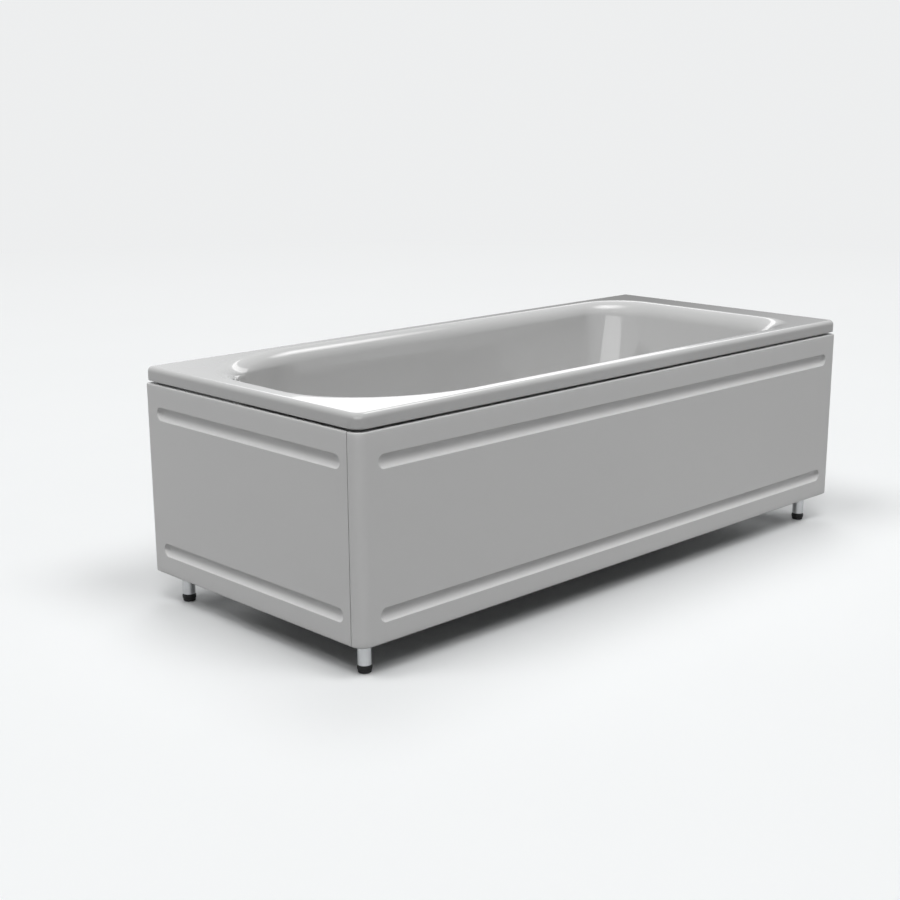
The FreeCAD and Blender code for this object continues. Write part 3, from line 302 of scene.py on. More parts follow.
enamel = enamelMaterial(enamelLook)
panelSkin = panelMaterial(panelLook)
legMetal = metalMaterial("drawnLegTube", legLook)
rodMetal = metalMaterial("screwSteel", rodLook)
chrome = metalMaterial("polishedChrome", chromeLook)
zinc = zincMaterial(zincLook)
blackPlastic = mouldedMaterial("blackFootPlastic", footPlasticLook)
blackRubber = mouldedMaterial("blackRubber", rubberLook)
whitePlastic = mouldedMaterial("whiteFittingPlastic", fittingLook)
pipePlastic = mouldedMaterial("whitePipePlastic", pipeLook)
damping = dampingMaterial(dampingLook)
print("materials made")

nodeLooks = {
    "leg_": legMetal, "leg_caps": blackRubber, "leg_end_caps": blackPlastic,
    "front_rail": zinc, "back_rail": zinc, "foot_end_rail": zinc, "head_end_rail": zinc,
    "cross_bars": zinc, "front_panel_rails": zinc, "end_panel_rails": zinc, "front_stays": zinc,
    "end_stay": zinc, "wall_brackets": zinc, "earth_tag": zinc, "panel_rail_screws": rodMetal,
    "floor_pads": blackRubber, "drain_gasket": blackRubber, "overflow_gasket": blackRubber,
    "plug_seal": blackRubber, "sound_pads": damping, "front_panel_sockets": whitePlastic,
    "end_panel_sockets": whitePlastic, "front_panel_pins": whitePlastic,
    "end_panel_pins": whitePlastic, "front_panel_stiffeners": whitePlastic,
    "end_panel_stiffeners": whitePlastic, "waste_body": pipePlastic, "trap_bend": pipePlastic,
    "trap_nuts": pipePlastic, "outlet_pipe": pipePlastic, "overflow_elbow": pipePlastic,
    "overflow_pipe": pipePlastic, "overflow_nuts": pipePlastic, "pull_cable": blackPlastic,
    "drain_ring": chrome, "overflow_plate": chrome, "overflow_knob": chrome, "drain_plug": chrome,
    "knob_spindle": rodMetal, "plug_stem": rodMetal, "foot_rod_": rodMetal,
    "hand_wheel_": blackPlastic, "glide_": blackPlastic, "front_panel": panelSkin,
    "end_panel": panelSkin, "tub_shell": enamel}

for name, node in nodes.items():
    # the longest matching start of the name decides
    key = max((k for k in nodeLooks if name.startswith(k)), key=len)
    node.data.materials.clear()
    node.data.materials.append(nodeLooks[key])
print("parts dressed")


tub = {"length": 1.700, "width": 0.735, "height": 0.560, "sheet": 0.003,
       "lipDrop": 0.032, "edgeRadius": 0.012,
       # corner between the two panels, then the other three
       "openCorner": 0.028, "otherCorner": 0.014,
       "wellDepth": 0.390, "floorFall": 0.5, "drainX": -0.550, "drainHole": 0.026,
       # the land is measured to where the roll has turned down by this angle
       "crease": 8.0,
       # foot end, head end and long sides in turn
       "land": (0.042, 0.097, 0.034), "roll": (0.040, 0.060, 0.040), "slope": (12.0, 20.0, 9.0),
       "footRadius": (0.090, 0.110, 0.075),
       # half axes of the foot-end corners at the rim and at the floor, then the head end's radius
       "footCornerX": (0.330, 0.165), "footCornerY": (0.250, 0.105), "headCorner": (0.130, 0.090),
       # the overflow's hole is cut by a round bar of this length and number of sides
       "overflowDepth": 0.075, "overflowHole": 0.026, "barLength": 0.03, "barSides": 96,
       "sharpAngle": 35.0, "leastCorner": 0.0001,
       # rows of the grid from the lip to the drain hole, then the steps round it
       "lipSteps": 5, "edgeSteps": 10, "landSteps": 8, "rollSteps": 26, "wallSteps": 16,
       "footSteps": 26, "floorSteps": 14, "hemSteps": 6, "cornerSteps": 44, "straightSteps": 12,
       # the roll's and the foot's rows are spaced along an arc of this angle, and the floor's
       # rows draw closer by this power towards the drain
       "rowArc": 82.0, "floorPower": 1.6}


def wallInset(depth, offset, side):
    # distance of a wall inside the well's edge at a depth: the roll is an arc, the wall a line
    # that leans by the slope, and the foot an arc that ends level with the floor;
    # offset moves all three square to the sheet
    roll, foot = tub["roll"][side], tub["footRadius"][side]
    lean = math.radians(tub["slope"][side])
    edge = roll * math.sin(math.radians(tub["crease"]))
    rollEnd = roll - (roll - offset) * math.sin(lean)
    footCentre = tub["wellDepth"] - foot
    footStart = footCentre + (foot + offset) * math.sin(lean)
    straight = (footCentre + foot * math.sin(lean)) - (roll - roll * math.sin(lean))
    footInset = (roll + foot) * math.cos(lean) + straight * math.tan(lean)
    onRoll = np.sqrt(np.maximum((roll - offset) ** 2 - (roll - depth) ** 2, 0))
    onWall = (roll - offset) * math.cos(lean) + (depth - rollEnd) * math.tan(lean)
    onFoot = footInset - np.sqrt(np.maximum((foot + offset) ** 2 - (depth - footCentre) ** 2, 0))
    return np.where(depth < rollEnd, onRoll, np.where(depth < footStart, onWall, onFoot)) - edge


def floorHeight(x, offset):
    # the floor falls evenly towards the drain
    slope = math.sin(math.radians(tub["floorFall"]))
    return tub["height"] - tub["wellDepth"] - offset + (x - tub["drainX"]) * slope


def loop(corners, arcs):
    # closed outline: a straight run before each corner, then the corner's own points.
    # corners holds (start, end) of each arc, arcs the points between them
    runs = []
    for i in range(4):
        start, end = corners[i - 1][1], corners[i][0]
        t = np.linspace(0, 1, tub["straightSteps"], endpoint=False)[:, None]
        runs.append(start[..., None, :] * (1 - t) + end[..., None, :] * t)
        runs.append(arcs[i][..., :-1, :])
    return np.concatenate(runs, -2)


def wellRings(depths, offset):
    # level outlines of the well: four straight runs and four quarter ellipses, each a cubic
    # curve pulled towards the corner by 4 (sqrt 2 - 1) / 3
    depth = depths + offset
    left = -tub["length"] / 2 + tub["land"][0] + wallInset(depth, offset, 0)
    right = tub["length"] / 2 - tub["land"][1] - wallInset(depth, offset, 1)
    side = tub["width"] / 2 - tub["land"][2] - wallInset(depth, offset, 2)
    share = depths / tub["wellDepth"]

    def size(pair):
        return pair[0] + (pair[1] - pair[0]) * share + offset
    a, b, c = size(tub["footCornerX"]), size(tub["footCornerY"]), size(tub["headCorner"])

    def at(x, y):
        return np.stack([x, y], -1)
    ends = [(at(left, b - side), at(left + a, -side)), (at(right - c, -side), at(right, c - side)),
            (at(right, side - c), at(right - c, side)), (at(left + a, side), at(left, side - b))]
    tips = [at(left, -side), at(right, -side), at(right, side), at(left, side)]
    t = np.linspace(0, 1, tub["cornerSteps"] + 1)[:, None]
    pull = 4 * (math.sqrt(2) - 1) / 3
    arcs = []
    for (start, end), tip in zip(ends, tips):
        start, end, tip = start[:, None], end[:, None], tip[:, None]
        first, last = start + (tip - start) * pull, end + (tip - end) * pull
        arcs.append((1 - t) ** 3 * start + 3 * (1 - t) ** 2 * t * first
                    + 3 * (1 - t) * t ** 2 * last + t ** 3 * end)
    flat = loop(ends, arcs)
    fall = np.sin(np.radians(tub["floorFall"]) * share)[:, None]
    z = tub["height"] - depth[:, None] + (flat[..., 0] - tub["drainX"]) * fall
    return np.concatenate([flat, z[..., None]], -1)


def rimRings(inset, z):
    # outlines of the rim: rounded rectangles, each drawn in by its inset
    inset, z = np.atleast_1d(inset).astype(float), np.atleast_1d(z).astype(float)
    x, y = tub["length"] / 2 - inset, tub["width"] / 2 - inset
    t = np.linspace(0, np.pi / 2, tub["cornerSteps"] + 1)
    arcs, ends = [], []
    for i, (sx, sy) in enumerate(((-1, -1), (1, -1), (1, 1), (-1, 1))):
        r = np.maximum(tub["otherCorner" if i else "openCorner"] - inset, tub["leastCorner"])
        angle = math.pi + i * math.pi / 2 + t
        px = sx * (x - r)[:, None] + r[:, None] * np.cos(angle)
        py = sy * (y - r)[:, None] + r[:, None] * np.sin(angle)
        arcs.append(np.stack([px, py], -1))
        ends.append((arcs[-1][:, 0], arcs[-1][:, -1]))
    flat = loop(ends, arcs)
    level = np.repeat(z[:, None], flat.shape[1], 1)
    return np.concatenate([flat, level[..., None]], -1)


def between(first, last, steps):
    # evenly spaced outlines strictly between two outlines
    t = np.linspace(0, 1, steps + 2)[1:-1, None, None]
    return first * (1 - t) + last * t


def floorRings(edge, offset):
    # the floor: outlines that shrink from the walls' foot to the drain hole by 1 - (1 - t)^power
    angle = np.arctan2(edge[:, 1], edge[:, 0] - tub["drainX"])
    hole = np.stack([tub["drainX"] + tub["drainHole"] * np.cos(angle),
                     tub["drainHole"] * np.sin(angle)], -1)
    t = np.linspace(0, 1, tub["floorSteps"] + 1)[1:, None, None]
    t = 1 - (1 - t) ** tub["floorPower"]
    flat = edge[None, :, :2] * (1 - t) + hole * t
    return np.concatenate([flat, floorHeight(flat[..., :1], offset)], -1)


def sheetRings(offset):
    # one side of the sheet from the rim's outer edge to the drain hole
    height, edge = tub["height"], tub["edgeRadius"]
    lipEnd = height - tub["lipDrop"] + tub["sheet"] / 2
    lipZ = np.linspace(lipEnd, height - edge, tub["lipSteps"] + 1)[:-1]
    lip = rimRings(np.full(len(lipZ), offset), lipZ)
    turn = np.linspace(0, np.pi / 2, tub["edgeSteps"] + 1)
    bend = edge - offset
    outerEdge = rimRings(edge - bend * np.cos(turn), height - edge + bend * np.sin(turn))
    rowArc = math.radians(tub["rowArc"])
    upper = max(tub["roll"]) * (1 - np.cos(np.linspace(0, rowArc, tub["rollSteps"])))
    rise = max(tub["footRadius"]) * (1 - np.cos(np.linspace(rowArc, 0, tub["footSteps"])))
    lower = tub["wellDepth"] - rise
    middle = np.linspace(upper[-1], lower[0], tub["wallSteps"] + 2)[1:-1]
    well = wellRings(np.concatenate([upper, middle, lower]), offset)
    land = between(outerEdge[-1], well[0], tub["landSteps"])
    return np.concatenate([lip, outerEdge, land, well, floorRings(well[-1], offset)])


def overflowPlace():
    # the overflow's middle on the foot-end wall
    inset = float(wallInset(np.array(tub["overflowDepth"]), 0.0, 0))
    x = -tub["length"] / 2 + tub["land"][0] + inset
    return np.array([x, 0, tub["height"] - tub["overflowDepth"]])


def makeTub():
    outer, inner = sheetRings(0.0), sheetRings(tub["sheet"])
    # the sheet's lower edge is a half circle
    half, low = tub["sheet"] / 2, tub["height"] - tub["lipDrop"]
    turn = np.linspace(0, np.pi, tub["hemSteps"] + 1)[1:-1]
    hem = rimRings(half + half * np.cos(turn), low + half - half * np.sin(turn))
    rings = np.concatenate([outer, inner[::-1], hem])
    mesh = meshFromGrid("tubShell", rings, True, True, tub["sharpAngle"])
    piece = addPiece("tubShell", mesh, enamel, "bath", ["tub_shell"])
    # the overflow's hole, square to the foot-end wall
    bpy.ops.mesh.primitive_cylinder_add(
        vertices=tub["barSides"], radius=tub["overflowHole"], depth=tub["barLength"],
        location=overflowPlace(), rotation=(0, math.pi / 2 - math.radians(tub["slope"][0]), 0))
    bar = bpy.context.object
    hole = piece.modifiers.new("overflowHole", "BOOLEAN")
    hole.object = bar
    hole.operation = "DIFFERENCE"
    hole.solver = "EXACT"
    settled(piece)
    bpy.data.objects.remove(bar)
    shade(piece.data, tub["sharpAngle"])


makeTub()
print("tub made")


panel = {"bottom": 0.073, "top": 0.522, "depth": 0.030, "sheet": 0.003, "edge": 0.004,
         "grooveWidth": 0.032, "grooveDepth": 0.009, "grooveSoft": 0.0016,
         "grooveLow": 0.134, "grooveHigh": 0.456, "grooveLeft": 0.054, "grooveRight": 0.038,
         "seam": 0.0025, "seamEdge": 0.001, "sharpAngle": 40.0,
         # the wall is made this much thinner than the sheet, so that it keeps inside the CAD panel
         "slack": 0.0002,
         # spacing of the grid near the grooves and elsewhere, and how far the near one reaches
         "fine": 0.0009, "coarse": 0.014, "fineReach": 0.004,
         "bendSteps": 18, "edgeSteps": 6, "returnSteps": 5}


def grooveDepth(along, z, start, end, level):
    # a round-ended scoop: a circle's arc across; distance is measured from the line between the
    # two round ends, and the outermost part is faded out evenly
    half = panel["grooveWidth"] / 2
    radius = (half ** 2 + panel["grooveDepth"] ** 2) / (2 * panel["grooveDepth"])
    past = np.maximum(np.maximum(start - along, along - end), 0)
    distance = np.sqrt(past ** 2 + (z - level) ** 2)
    inside = np.minimum(distance, half)
    arc = np.sqrt(radius ** 2 - inside ** 2) - (radius - panel["grooveDepth"])
    return arc * np.clip((half - inside) / panel["grooveSoft"], 0, 1)


def stations(low, high, bands):
    # places from low to high: fine steps inside the bands, coarse ones outside
    tiny = 1e-9
    places = [low]
    while places[-1] < high - tiny:
        here = places[-1]
        inside = [b for b in bands if b[0] - tiny <= here < b[1] - tiny]
        ahead = [b[0] for b in bands if b[0] > here + tiny]
        step = panel["fine"] if inside else panel["coarse"]
        stop = min([inside[0][1] if inside else high] + ahead + [high])
        count = max(1, math.ceil((stop - here) / step - tiny))
        places += [here + (stop - here) * (i + 1) / count for i in range(count)]
    return np.array(places)


def grooveEnds(low, high):
    # middles of the grooves' round ends on a panel from low to high, and the bands of fine steps
    half, margin = panel["grooveWidth"] / 2, panel["fineReach"]
    start, end = low + panel["grooveLeft"] + half, high - panel["grooveRight"] - half
    return (start, end), [(start - half - margin, start + margin), (end - margin, end + half + margin)]


def arcPath(centre, radius, startAngle, endAngle, steps):
    # points centre + radius (cos a, sin a), and the directions (cos a, sin a)
    angle = np.radians(np.linspace(startAngle, endAngle, steps + 1))
    way = np.stack([np.cos(angle), np.sin(angle)], -1)
    return np.array(centre) + radius * way, way


def plan(x, y):
    # plan points from x and y, of which one may be a single number
    return np.stack(np.broadcast_arrays(x, y), -1)


def repeated(point, run):
    # the same plan point for each point of a run
    return np.repeat([point], len(run), 0)


def alongFace(places, before, after):
    # places along the face, endless outside it, where no groove may lie
    along = np.full(len(places), np.inf)
    along[before:-after] = places[before:-after]
    return along


def trayGrid(path, drawn, normal, deep, along, ends):
    # a shallow tray: every point of the plan path is carried up over the lower return, a round
    # edge, the face with its two grooves, a round edge and the upper return.
    # drawn is the path where the round edges are over, deep is where each return ends in plan,
    # along holds each point's place for the grooves, and ends their two round ends
    bottom, top, edge = panel["bottom"], panel["top"], panel["edge"]
    grooves = (panel["grooveLow"], panel["grooveHigh"])
    margin = panel["grooveWidth"] / 2 + 2 * panel["grooveSoft"]
    turn = np.linspace(np.pi / 2, 0, panel["edgeSteps"] + 1)
    z = stations(bottom + edge, top - edge, [(g - margin, g + margin) for g in grooves])[1:-1]
    inset = np.concatenate([1 - np.cos(turn), np.zeros(len(z)), 1 - np.cos(turn[::-1])])
    drop, rise = edge * np.sin(turn), edge * np.sin(turn[::-1])
    level = np.concatenate([bottom + edge - drop, z, top - edge + rise])
    scoop = sum(grooveDepth(along[None, :], level[:, None], *ends, groove) for groove in grooves)
    skin = path + (drawn - path) * inset[:, None, None] - normal * scoop[..., None]
    skin = np.concatenate([skin, np.repeat(level[:, None, None], len(path), 1)], -1)
    t = np.linspace(0, 1, panel["returnSteps"] + 1)[1:, None, None]

    def foldedBack(row, z):
        # a return: evenly from a row of the skin to its end in plan, on one level
        flat = row[:, :2] * (1 - t) + deep * t
        return np.concatenate([flat, np.full((*flat.shape[:2], 1), z)], -1)
    return np.concatenate([foldedBack(skin[0], bottom)[::-1], skin, foldedBack(skin[-1], top)])


def addTray(name, grid, body, standsFor):
    # the tray's skin gets its wall inwards
    sliver = 1e-6
    mesh = meshFromGrid(name, grid, False, False, panel["sharpAngle"], closed=False)
    work = bmesh.new()
    work.from_mesh(mesh)
    bmesh.ops.dissolve_degenerate(work, dist=sliver, edges=work.edges)
    # faces look away from the middle of the tub
    middle = Vector((0, 0, tub["height"] / 2))
    outward = sum(f.normal.dot(f.calc_center_median() - middle) * f.calc_area() for f in work.faces)
    if outward < 0:
        bmesh.ops.reverse_faces(work, faces=work.faces)
    work.to_mesh(mesh)
    work.free()
    piece = addPiece(name, mesh, panelSkin, body, standsFor)
    wall = piece.modifiers.new("wall", "SOLIDIFY")
    wall.thickness = panel["sheet"] - panel["slack"]
    wall.offset = -1.0
    wall.use_even_offset = True
    wall.thickness_clamp = 0.0
    settled(piece)
    shade(piece.data, panel["sharpAngle"])


def makeFrontPanel():
    # plan path from the wrapped left end round the corner, along the front and into the right return
    halfX, halfY = tub["length"] / 2, tub["width"] / 2
    edge, bend, deepY = panel["edge"], panel["depth"], -halfY + panel["depth"]
    ends, bands = grooveEnds(-halfX, halfX)
    arcA, wayA = arcPath((-halfX + bend, deepY), bend, 180, 270, panel["bendSteps"])
    faceRun = plan(stations(-halfX + bend, halfX - edge, bands), -halfY)[1:-1]
    arcB, wayB = arcPath((halfX - edge, -halfY + edge), edge, 270, 360, panel["edgeSteps"])
    sideRun = plan(halfX, np.linspace(-halfY + edge, deepY, panel["returnSteps"] + 1)[1:])
    path = np.concatenate([arcA, faceRun, arcB, sideRun])
    normal = np.concatenate([wayA, repeated([0, -1], faceRun), wayB, repeated([1, 0], sideRun)])
    deep = np.concatenate([repeated([-halfX + bend, deepY], arcA), plan(faceRun[:, 0], deepY),
                           repeated([halfX - edge, deepY], arcB), plan(halfX - edge, sideRun[:, 1])])
    along = alongFace(path[:, 0], len(arcA), len(arcB) + len(sideRun))
    grid = trayGrid(path, path - edge * normal, normal, deep, along, ends)
    addTray("frontPanelSkin", grid, "front_panel", ["front_panel"])


def makeEndPanel():
    # plan path from the back return, along the end face towards the front and into the seam's return
    halfX, halfY = tub["length"] / 2, tub["width"] / 2
    edge, small, deepX = panel["edge"], panel["seamEdge"], -halfX + panel["depth"]
    near = -halfY + panel["depth"] + panel["seam"]
    steps = panel["returnSteps"] + 1
    ends, bands = grooveEnds(-halfY, halfY)
    backRun = plan(np.linspace(deepX, -halfX + edge, steps)[:-1], halfY)
    arcA, wayA = arcPath((-halfX + edge, halfY - edge), edge, 90, 180, panel["edgeSteps"])
    faceRun = plan(-halfX, stations(near + small, halfY - edge, bands)[::-1])[1:-1]
    arcB, wayB = arcPath((-halfX + small, near + small), small, 180, 270, panel["edgeSteps"])
    nearRun = plan(np.linspace(-halfX + small, deepX, steps)[1:], near)
    path = np.concatenate([backRun, arcA, faceRun, arcB, nearRun])
    normal = np.concatenate([repeated([0, 1], backRun), wayA, repeated([-1, 0], faceRun), wayB,
                             repeated([0, -1], nearRun)])
    # the seam's own edge is sharper than the others
    seamRun = plan(np.linspace(-halfX + edge, deepX, steps)[1:], near + small)
    before, after = len(backRun) + len(arcA), len(arcB) + len(nearRun)
    drawn = np.concatenate([(path - edge * normal)[:-after],
                            repeated([-halfX + edge, near + small], arcB), seamRun])
    deep = np.concatenate([plan(backRun[:, 0], halfY - edge), repeated([deepX, halfY - edge], arcA),
                           plan(deepX, faceRun[:, 1]), repeated([deepX, near + small], arcB), seamRun])
    along = alongFace(path[:, 1], before, after)
    grid = trayGrid(path, drawn, normal, deep, along, ends)
    addTray("endPanelSkin", grid, "end_panel", ["end_panel"])


makeFrontPanel()
makeEndPanel()
print("panels made")


foot = {"x": 0.798, "y": 0.3155, "gap": 0.0003,
        "glideHeight": 0.005, "glideRadius": 0.0145, "glideEdge": 0.0012, "glideRounding": 0.0006,
        "stubRadius": 0.004, "stubHeight": 0.0020, "glideSteps": 64,
        "wheelHeight": 0.0094, "wheelRadius": 0.016, "wheelRounding": 0.0007,
        "socketRadius": 0.0042, "socketDepth": 0.0021,
        # the wheel's wall leans out: inset at its foot, inset and height of the next point, and the
        # share of its height where it is full
        "wheelFoot": 0.0014, "wheelLean": (0.0006, 0.001), "wheelUpright": 0.55,
        "ribs": 30, "ribDepth": 0.0005, "ribFrom": 0.0022, "ribBlend": 0.0010, "stepsPerRib": 8,
        "rodRadius": 0.005, "rodBottom": 0.0083, "rodLength": 0.086, "rodSlack": 0.00005,
        "rodInWheel": 0.0005, "tip": 0.0015, "tipRadius": 0.86,
        "pitch": 0.0015, "threadDepth": 0.0007, "stepsPerTurn": 8, "rodSteps": 24}


def glideProfile():
    r, g, edge = foot["glideRadius"], foot["glideHeight"], foot["glideEdge"]
    stub, top = foot["stubRadius"], g + foot["stubHeight"]
    outline = [(0.0, 0.0), (r - edge, 0.0), (r, edge), (r, g), (stub, g), (stub, top), (0.0, top)]
    return rounded(outline, foot["glideRounding"])


def wheelProfile():
    r, low, height = foot["wheelRadius"], foot["glideHeight"] + foot["gap"], foot["wheelHeight"]
    socket, roof = foot["socketRadius"], low + foot["socketDepth"]
    lean, rise = foot["wheelLean"]
    outline = [(0.0, roof), (socket, roof), (socket, low), (r - foot["wheelFoot"], low),
               (r - lean, low + rise), (r, low + height * foot["wheelUpright"]), (r, low + height),
               (0.0, low + height)]
    return rounded(outline, foot["wheelRounding"])


def ribbed(angle, radius):
    # the outer wall is scalloped: radius less rib depth times (1 + cos(ribs x angle)) / 2
    outer = np.clip((radius - foot["wheelRadius"] + foot["ribFrom"]) / foot["ribBlend"], 0, 1)
    return radius - outer * foot["ribDepth"] * (1 + np.cos(foot["ribs"] * angle)) / 2


def rodGrid():
    # the thread: radius less thread depth times a rounded triangle of (height / pitch - turn),
    # faded out towards the rod's upper tip
    start = foot["glideHeight"] + foot["gap"] + foot["wheelHeight"] - foot["rodInWheel"]
    end = foot["rodBottom"] + foot["rodLength"]
    z = np.linspace(start, end, int((end - start) / foot["pitch"] * foot["stepsPerTurn"]))[:, None]
    angle = np.linspace(0, 2 * np.pi, foot["rodSteps"], endpoint=False)[None, :]
    wave = np.abs(((z / foot["pitch"] - angle / (2 * np.pi)) % 1) * 2 - 1)
    fade = np.clip((end - z) / foot["tip"], 0, 1)
    core = foot["tipRadius"] + (1 - foot["tipRadius"]) * fade
    radius = (foot["rodRadius"] - foot["rodSlack"]) * core - foot["threadDepth"] * wave * fade
    thread = np.stack([radius * np.cos(angle), radius * np.sin(angle), z + 0 * angle], -1)
    onAxis = [0, 0, 1]
    return np.concatenate([thread[:1] * onAxis, thread, thread[-1:] * onAxis])


def makeFoot(name, sx, sy):
    leg = np.array([sx * foot["x"], sy * foot["y"], 0.0])
    glide = turned(glideProfile(), foot["glideSteps"]) + leg
    wheel = turned(wheelProfile(), foot["ribs"] * foot["stepsPerRib"], ribbed) + leg
    addTurned("glidePad_" + name, glide, blackPlastic, "foot_" + name, ["glide_" + name])
    addTurned("handWheel_" + name, wheel, blackPlastic, "foot_screw_" + name,
              ["hand_wheel_" + name])
    addTurned("footRod_" + name, rodGrid() + leg, rodMetal, "foot_screw_" + name,
              ["foot_rod_" + name], sharp=60.0)


for side, sy in (("front", -1), ("back", 1)):
    for end, sx in (("left", -1), ("right", 1)):
        makeFoot(side + "_" + end, sx, sy)
print("feet made")


knob = {"lift": 0.012, "radius": 0.036, "thickness": 0.014, "edge": 0.003, "rounding": 0.0024,
        "dish": 0.0016, "dishShare": 0.74, "dishSteps": 10, "steps": 192,
        "grips": 8, "gripDepth": 0.0030, "gripWidth": 10.0, "gripFrom": 0.6}
plug = {"radius": 0.031, "thickness": 0.005, "neckRadius": 0.0185, "neckLength": 0.008,
        "ringThickness": 0.0025, "gap": 0.0003, "domeFall": 0.0016, "domeEdge": 0.0012, "domeSteps": 14,
        # lower edge: inset and height; then how far the wall stops below the top
        "lowerEdge": (0.0006, 0.0008), "wallStop": 0.0026, "rounding": 0.0005, "steps": 96}


def gripped(angle, radius):
    # each grip is a smooth dent: depth times exp(-(width x angle from its middle)^2)
    part = 2 * np.pi / knob["grips"]
    off = (angle + part / 2) % part - part / 2
    outer = np.clip((radius / knob["radius"] - knob["gripFrom"]) / (1 - knob["gripFrom"]), 0, 1)
    return radius - outer * knob["gripDepth"] * np.exp(-(knob["gripWidth"] * off) ** 2)


def makeKnob():
    # a turned disc with a dished face, its rim dented for the fingers; the dish is its full depth
    # times 1 - (radius / its own radius)^2 deep
    r, low, high, edge = knob["radius"], knob["lift"], knob["lift"] + knob["thickness"], knob["edge"]
    inner = r * knob["dishShare"]
    across = np.linspace(inner, 0, knob["dishSteps"])
    dish = [(x, high - knob["dish"] * (1 - (x / inner) ** 2)) for x in across]
    outline = [(0.0, low), (r - edge, low), (r, low + edge), (r, high - edge), (r - edge, high)]
    profile = np.concatenate([rounded(outline, knob["rounding"], steps=6), dish])
    grid = turned(profile, knob["steps"], gripped)
    # where its own x, y and z point once it stands square on the foot-end wall
    lean = math.radians(tub["slope"][0])
    side, rise = math.cos(lean), math.sin(lean)
    axes = np.array([(-rise, 0, side), (0, 1, 0), (side, 0, rise)])
    addTurned("overflowKnob", overflowPlace() + grid @ axes, chrome, "knob",
              ["overflow_knob"], sharp=50.0)


def makePlug():
    # a cap with a gentle dome: its height falls with the square of the radius
    r, neck, (inset, rise) = plug["radius"], plug["neckRadius"], plug["lowerEdge"]
    base = tub["height"] - tub["wellDepth"] + plug["ringThickness"] + plug["gap"]
    top, low = base + plug["thickness"], base - plug["neckLength"]
    across = np.linspace(r - plug["domeEdge"], 0, plug["domeSteps"])
    dome = [(x, top - plug["domeFall"] * (x / r) ** 2) for x in across]
    under = [(0.0, low), (neck, low), (neck, base), (r - inset, base), (r, base + rise),
             (r, top - plug["wallStop"])]
    profile = np.concatenate([rounded(under, plug["rounding"]), dome])
    grid = turned(profile, plug["steps"]) + np.array([tub["drainX"], 0, 0])
    addTurned("drainPlug", grid, chrome, "plug", ["drain_plug"], sharp=50.0)


makeKnob()
makePlug()
print("knob and plug made")


stage = {"floorColour": (0.875, 0.888, 0.893), "backdrop": (0.850, 0.858, 0.862),
         # the floor reaches this far and turns into the backdrop between these distances; its
         # faint clouds are darker by this factor
         "floorReach": 60.0, "fade": (2.0, 8.0), "clouds": 1.2, "cloudTone": 0.99, "roughness": 0.6,
         # light of the sky and of the floor on diffuse surfaces
         "skyLight": 0.13, "floorBounce": 0.20,
         # suns: azimuth, elevation, strength, angle
         "leftSun": (163.0, 58.0, 0.97, 26.0), "rightSun": (-73.0, 58.0, 1.01, 26.0),
         "highSun": (-135.0, 66.0, 0.85, 20.0), "backSun": (45.0, 62.0, 0.45, 24.0),
         # softbox behind the camera: place, target, width, height, power
         "openBox": ((-3.9, -3.9, 2.2), (0.5, 0.2, 0.6), 6.4, 3.8, 115.0)}
cards = {
    # low cards: the back one's y and first x, the side one's x and last y, and their top
    "backY": 0.62, "backFrom": -1.6, "sideX": 1.15, "sideTo": -1.1, "top": 0.76,
    # their grey, the height and the reach of their darkest spot, and where they start to pale
    "grey": 0.20, "darkZ": 0.6, "darkReach": (0.1, 2.0), "paleZ": 0.64,
    # far card: x and y of its middle, half width, bottom and top, heights where it brightens
    "farOff": 4.6, "farHalf": 3.4, "farZ": (1.4, 3.6), "farRise": (1.4, 2.2), "farLight": 1.75,
    # roof card: middle, half width, and the radius of its brightest spot
    "roof": (1.55, 0.25, 3.15), "roofHalf": 1.0, "roofCore": 0.2, "roofLight": 4.2}


def seenDirectly(tree):
    # 1 for the camera, for mirror images and through glass, 0 for diffuse light
    path = tree.nodes.new("ShaderNodeLightPath")
    result = path.outputs["Is Camera Ray"]
    for kind in ("Is Glossy Ray", "Is Transmission Ray"):
        either = tree.nodes.new("ShaderNodeMath")
        either.operation = "MAXIMUM"
        tree.links.new(result, either.inputs[0])
        tree.links.new(path.outputs[kind], either.inputs[1])
        result = either.outputs["Value"]
    return result


def heightOf(tree, place):
    split = tree.nodes.new("ShaderNodeSeparateXYZ")
    tree.links.new(place, split.inputs["Vector"])
    return split.outputs["Z"]


def flatSheet(name, corners, material):
    mesh = bpy.data.meshes.new(name)
    mesh.from_pydata(corners, [], [(0, 1, 2, 3)])
    mesh.materials.append(material)
    sheet = bpy.data.objects.new(name, mesh)
    bpy.context.scene.collection.objects.link(sheet)
    return sheet


def awayFrom(tree, place, point):
    # distance of a place from a point
    node = tree.nodes.new("ShaderNodeVectorMath")
    node.operation = "DISTANCE"
    node.inputs[1].default_value = point
    tree.links.new(place, node.inputs[0])
    return node.outputs["Value"]


def glowing(tree, colour, factor, shader):
    # a surface that gives way to an even glow as the factor rises to 1
    glow = tree.nodes.new("ShaderNodeEmission")
    mix = tree.nodes.new("ShaderNodeMixShader")
    tree.links.new(colour, glow.inputs["Color"])
    tree.links.new(factor, mix.inputs["Fac"])
    tree.links.new(shader.outputs[0], mix.inputs[1])
    tree.links.new(glow.outputs["Emission"], mix.inputs[2])
    tree.links.new(mix.outputs["Shader"], tree.nodes["Material Output"].inputs["Surface"])


